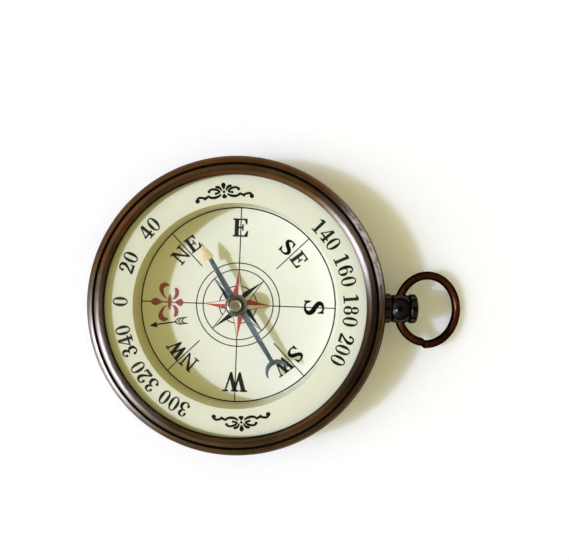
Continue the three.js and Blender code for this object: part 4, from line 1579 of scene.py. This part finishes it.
# %% Needle blade
blade = plate("needle_plate",
              [needle_outline(), swing(0, 0, CAP_RADIUS + 0.1, 0, 2 * math.pi, 40)[:-1]],
              BLADE_BOTTOM, BLADE_TOP, 0.07)
blade.data.materials.clear()
blade.data.materials.append(needle_steel)
blade.data.materials.append(gilt)
head_start = (NORTH_REACH - HEAD_LENGTH - 0.32) * MM
tip_start = (NORTH_REACH - 0.75) * MM
split = bmesh.new()
split.from_mesh(blade.data)
for place in (head_start, tip_start):
    bmesh.ops.bisect_plane(split, geom=split.verts[:] + split.edges[:] + split.faces[:], dist=0.0000001,
                           plane_co=(place, 0, 0), plane_no=(1, 0, 0))
split.to_mesh(blade.data)
split.free()
for face in blade.data.polygons:
    face.material_index = 1 if head_start < face.center.x < tip_start else 0
mark = blade.data.attributes.new("worn", "FLOAT", "POINT")
for i, vertex in enumerate(blade.data.vertices):
    inside = min(vertex.co.z - BLADE_BOTTOM * MM, BLADE_TOP * MM - vertex.co.z)
    mark.data[i].value = 0.0 if inside < 0.00001 else 1.0
blade.data.transform(Matrix.Rotation(HEADING, 4, "Z"))
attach(blade, "needle")
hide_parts("needle_blade")
print("needle has", len(blade.data.polygons), "faces")

# %% [markdown]
# The blade is clamped between a brass cap, whose stem comes up through the eye, and a dark domed
# collar. The cap's top is sunk a little and its rim is turned, so it reads as a small bright disc.

# %% Collar and cap
COLLAR_RADIUS, COLLAR_CROWN, COLLAR_HEIGHT = 2.85, 1.15, 1.75
collar = turn("collar_dome", [
    (1.6, BLADE_TOP), (COLLAR_RADIUS, BLADE_TOP),
    *arc(COLLAR_RADIUS - COLLAR_CROWN, BLADE_TOP + 0.3, COLLAR_CROWN, COLLAR_HEIGHT - 0.3, 0, 90, 12),
    (1.6, BLADE_TOP + COLLAR_HEIGHT - 0.15)], collar_black, facets=96, ring=True)
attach(collar, "needle")
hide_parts("needle_collar")

cap_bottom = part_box("needle_cap")[0].z / MM
cap_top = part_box("needle_cap")[1].z / MM
jewel_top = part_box("needle_jewel")[1].z / MM
cap = turn("cap_brass", eased([
    (0, jewel_top), (0.9, jewel_top), (0.9, cap_bottom), (2.15, cap_bottom), (2.15, BLADE_BOTTOM),
    (CAP_RADIUS, BLADE_BOTTOM), (CAP_RADIUS, cap_top), (CAP_RADIUS - 0.28, cap_top),
    (CAP_RADIUS - 0.44, cap_top - 0.16), (0, cap_top - 0.16)],
    {6, 7}, 0.08), plain_brass, facets=72)
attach(cap, "needle")
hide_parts("needle_cap")

# %% [markdown]
# ## Pendant
#
# A stud goes through the case's wall and ends outside in a round bead, bored across for the bow. A
# plain collar sits between the case and the bead, and a button with a rounded rim closes the end.
# These are turned too, but their axis lies along +X at the pendant's height.

# %% Bead, collar and button
BEAD_LENGTH = 4.75
BEAD_START = SEAT_PLACE + 1.85
BEAD_END = BEAD_START + BEAD_LENGTH
BEAD_CENTRE = BEAD_START + BEAD_LENGTH / 2
BUTTON_END = BEAD_END + 2.15
WIRE = 1.06
WIRE_PULL = 0.15
BEAD = 3.95
BOW_RADIUS = 8.77
BOW_SLIDE = 0.22
END_STEP = 0.5
wire_bend = BOW_RADIUS - math.sqrt(BOW_RADIUS ** 2 - (BEAD + BOW_SLIDE) ** 2)
BOW_HOLE = WIRE + wire_bend / 2 + WIRE_PULL + 0.2
spigot = (BEAD_LENGTH / 2 - BOW_HOLE) * 0.6
stud_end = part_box("pendant_stud")[0].x / MM
face_angle = math.degrees(math.asin(BEAD_LENGTH / 2 / BEAD))

stud_profile = [(0, stud_end), (1.2, stud_end), (1.2, BEAD_START)]
stud_profile += arc(0, BEAD_CENTRE, BEAD, BEAD, -face_angle, face_angle, 24)
stud_profile += [(1.1, BEAD_END), (1.1, BEAD_END - spigot - 0.1), (0, BEAD_END - spigot - 0.1)]
stud = turn("stud_bead", stud_profile, dark_bronze, facets=96, along_x=PENDANT_HEIGHT)
carve(stud, [drill("wire_hole", BOW_HOLE, BEAD_CENTRE, 9.2, PENDANT_HEIGHT, turned="X")])
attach(stud, "case")
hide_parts("pendant_stud")

collar_ring = turn("collar_ring", eased([
    (1.3, SEAT_PLACE), (3.75, SEAT_PLACE), (3.75, BEAD_START - 0.15), (3.6, BEAD_START),
    (1.3, BEAD_START)],
    {2, 3}, 0.08), dark_bronze, facets=96, ring=True, along_x=PENDANT_HEIGHT)
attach(collar_ring, "case")
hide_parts("pendant_collar")

rim_end = BUTTON_END - 0.55
button_profile = [(0, BEAD_END - spigot), (1.0, BEAD_END - spigot), (1.0, BEAD_END)]
button_profile += arc(3.3, BEAD_END + 0.4, 0.4, 0.4, -90, 0, 8, worn=0.7)
button_profile += [(3.7, rim_end - 0.2, 0.6)]
button_profile += arc(0, rim_end, 3.5, 0.55, 0, 90, 14)
button = turn("button_end", button_profile, dark_bronze, facets=96, along_x=PENDANT_HEIGHT)
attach(button, "case")
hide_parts("pendant_button")
print("bead is bored", round(2 * BOW_HOLE, 2), "mm for the wire")

# %% [markdown]
# ## Bow
#
# The bow is one length of round wire bent into a ring, whose ends meet a small step apart, because
# nobody bends wire perfectly true. A tree draws it: a row of points is laid along a slow spiral,
# made a curve, and given a round section, narrower at the two filed ends. Its inputs are the sizes
# a maker would ask for.

# %% Bow tree
def bow_tree():
    tree, given, out = new_tree("bent_wire", [
        ("Wire Radius", "Float", 0.001), ("Ring Radius", "Float", 0.0088),
        ("End Step", "Float", 0.0003), ("Joint Gap", "Float", 0.0003),
        ("Joint Angle", "Float", 0.0), ("Steps", "Int", 200), ("Finish", "Material", None)])
    count = add(tree, "FunctionNodeIntegerMath", operation="ADD", in_0=given.outputs["Steps"], in_1=1)
    row = add(tree, "GeometryNodeMeshLine")
    link(tree, count.outputs[0], row.inputs["Count"])
    index = add(tree, "GeometryNodeInputIndex").outputs[0]
    share = math_node(tree, "DIVIDE", index, given.outputs["Steps"])
    half_gap = math_node(tree, "DIVIDE", math_node(tree, "DIVIDE", given.outputs["Joint Gap"],
                                                  given.outputs["Ring Radius"]), 2.0)
    sweep = times(tree, minus(tree, math.pi, half_gap), 2.0)
    turned_by = plus(tree, half_gap, times(tree, share, sweep))
    angle = plus(tree, given.outputs["Joint Angle"], turned_by)
    turns = math_node(tree, "DIVIDE", turned_by, 2 * math.pi)
    step_out = times(tree, given.outputs["End Step"], minus(tree, 0.5, turns))
    radius = plus(tree, given.outputs["Ring Radius"], step_out)
    spot = add(tree, "ShaderNodeCombineXYZ",
               in_0=times(tree, radius, math_node(tree, "COSINE", angle)),
               in_1=times(tree, radius, math_node(tree, "SINE", angle)))
    bent = add(tree, "GeometryNodeSetPosition", in_0=row.outputs[0])
    link(tree, spot.outputs[0], bent.inputs["Position"])
    curve = add(tree, "GeometryNodeMeshToCurve", in_0=bent.outputs[0])
    edge = math_node(tree, "MINIMUM", share, minus(tree, 1.0, share))
    filed = remap(tree, edge, 0.0, 0.006, 0.82, 1.0)
    section = add(tree, "GeometryNodeCurvePrimitiveCircle")
    section.inputs["Resolution"].default_value = 32
    link(tree, given.outputs["Wire Radius"], section.inputs["Radius"])
    narrowed = add(tree, "GeometryNodeSetCurveRadius", in_0=curve.outputs[0])
    link(tree, filed, narrowed.inputs["Radius"])
    wire = add(tree, "GeometryNodeCurveToMesh", in_0=narrowed.outputs[0])
    link(tree, section.outputs[0], wire.inputs["Profile Curve"])
    wire.inputs["Fill Caps"].default_value = True
    if "Scale" in wire.inputs:
        link(tree, filed, wire.inputs["Scale"])
    finish_tree(tree, wire.outputs[0], given, out)
    return tree


joint_angle = math.radians(-96.5)


def ring_radius_at(angle):
    return BOW_RADIUS + END_STEP * (0.5 - (angle - joint_angle) / (2 * math.pi))


bow_centre = ring_radius_at(math.pi) - wire_bend / 2 + WIRE_PULL
bow_slope = math.asin((PENDANT_HEIGHT - WIRE) / (bow_centre + ring_radius_at(0)))
seed_mesh = bpy.data.meshes.new("bow_seed")
seed_mesh.from_pydata([(0, 0, 0)], [], [])
bow = run_tree("bow_wire", seed_mesh, bow_tree(), {
    "Wire Radius": WIRE * MM, "Ring Radius": BOW_RADIUS * MM, "End Step": END_STEP * MM,
    "Joint Gap": 0.3 * MM, "Joint Angle": joint_angle, "Steps": 220, "Finish": bow_bronze})
bow.data.transform(Matrix.Translation(Vector((BEAD_CENTRE, 0, PENDANT_HEIGHT)) * MM)
                   @ Matrix.Rotation(bow_slope, 4, "Y")
                   @ Matrix.Translation((bow_centre * MM, -BOW_SLIDE * MM, 0)))
tidy_mesh(bow, 40.0)
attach(bow, "bow")
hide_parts("bow_ring")
print("bow slopes", round(math.degrees(bow_slope), 2), "degrees down from the pendant")
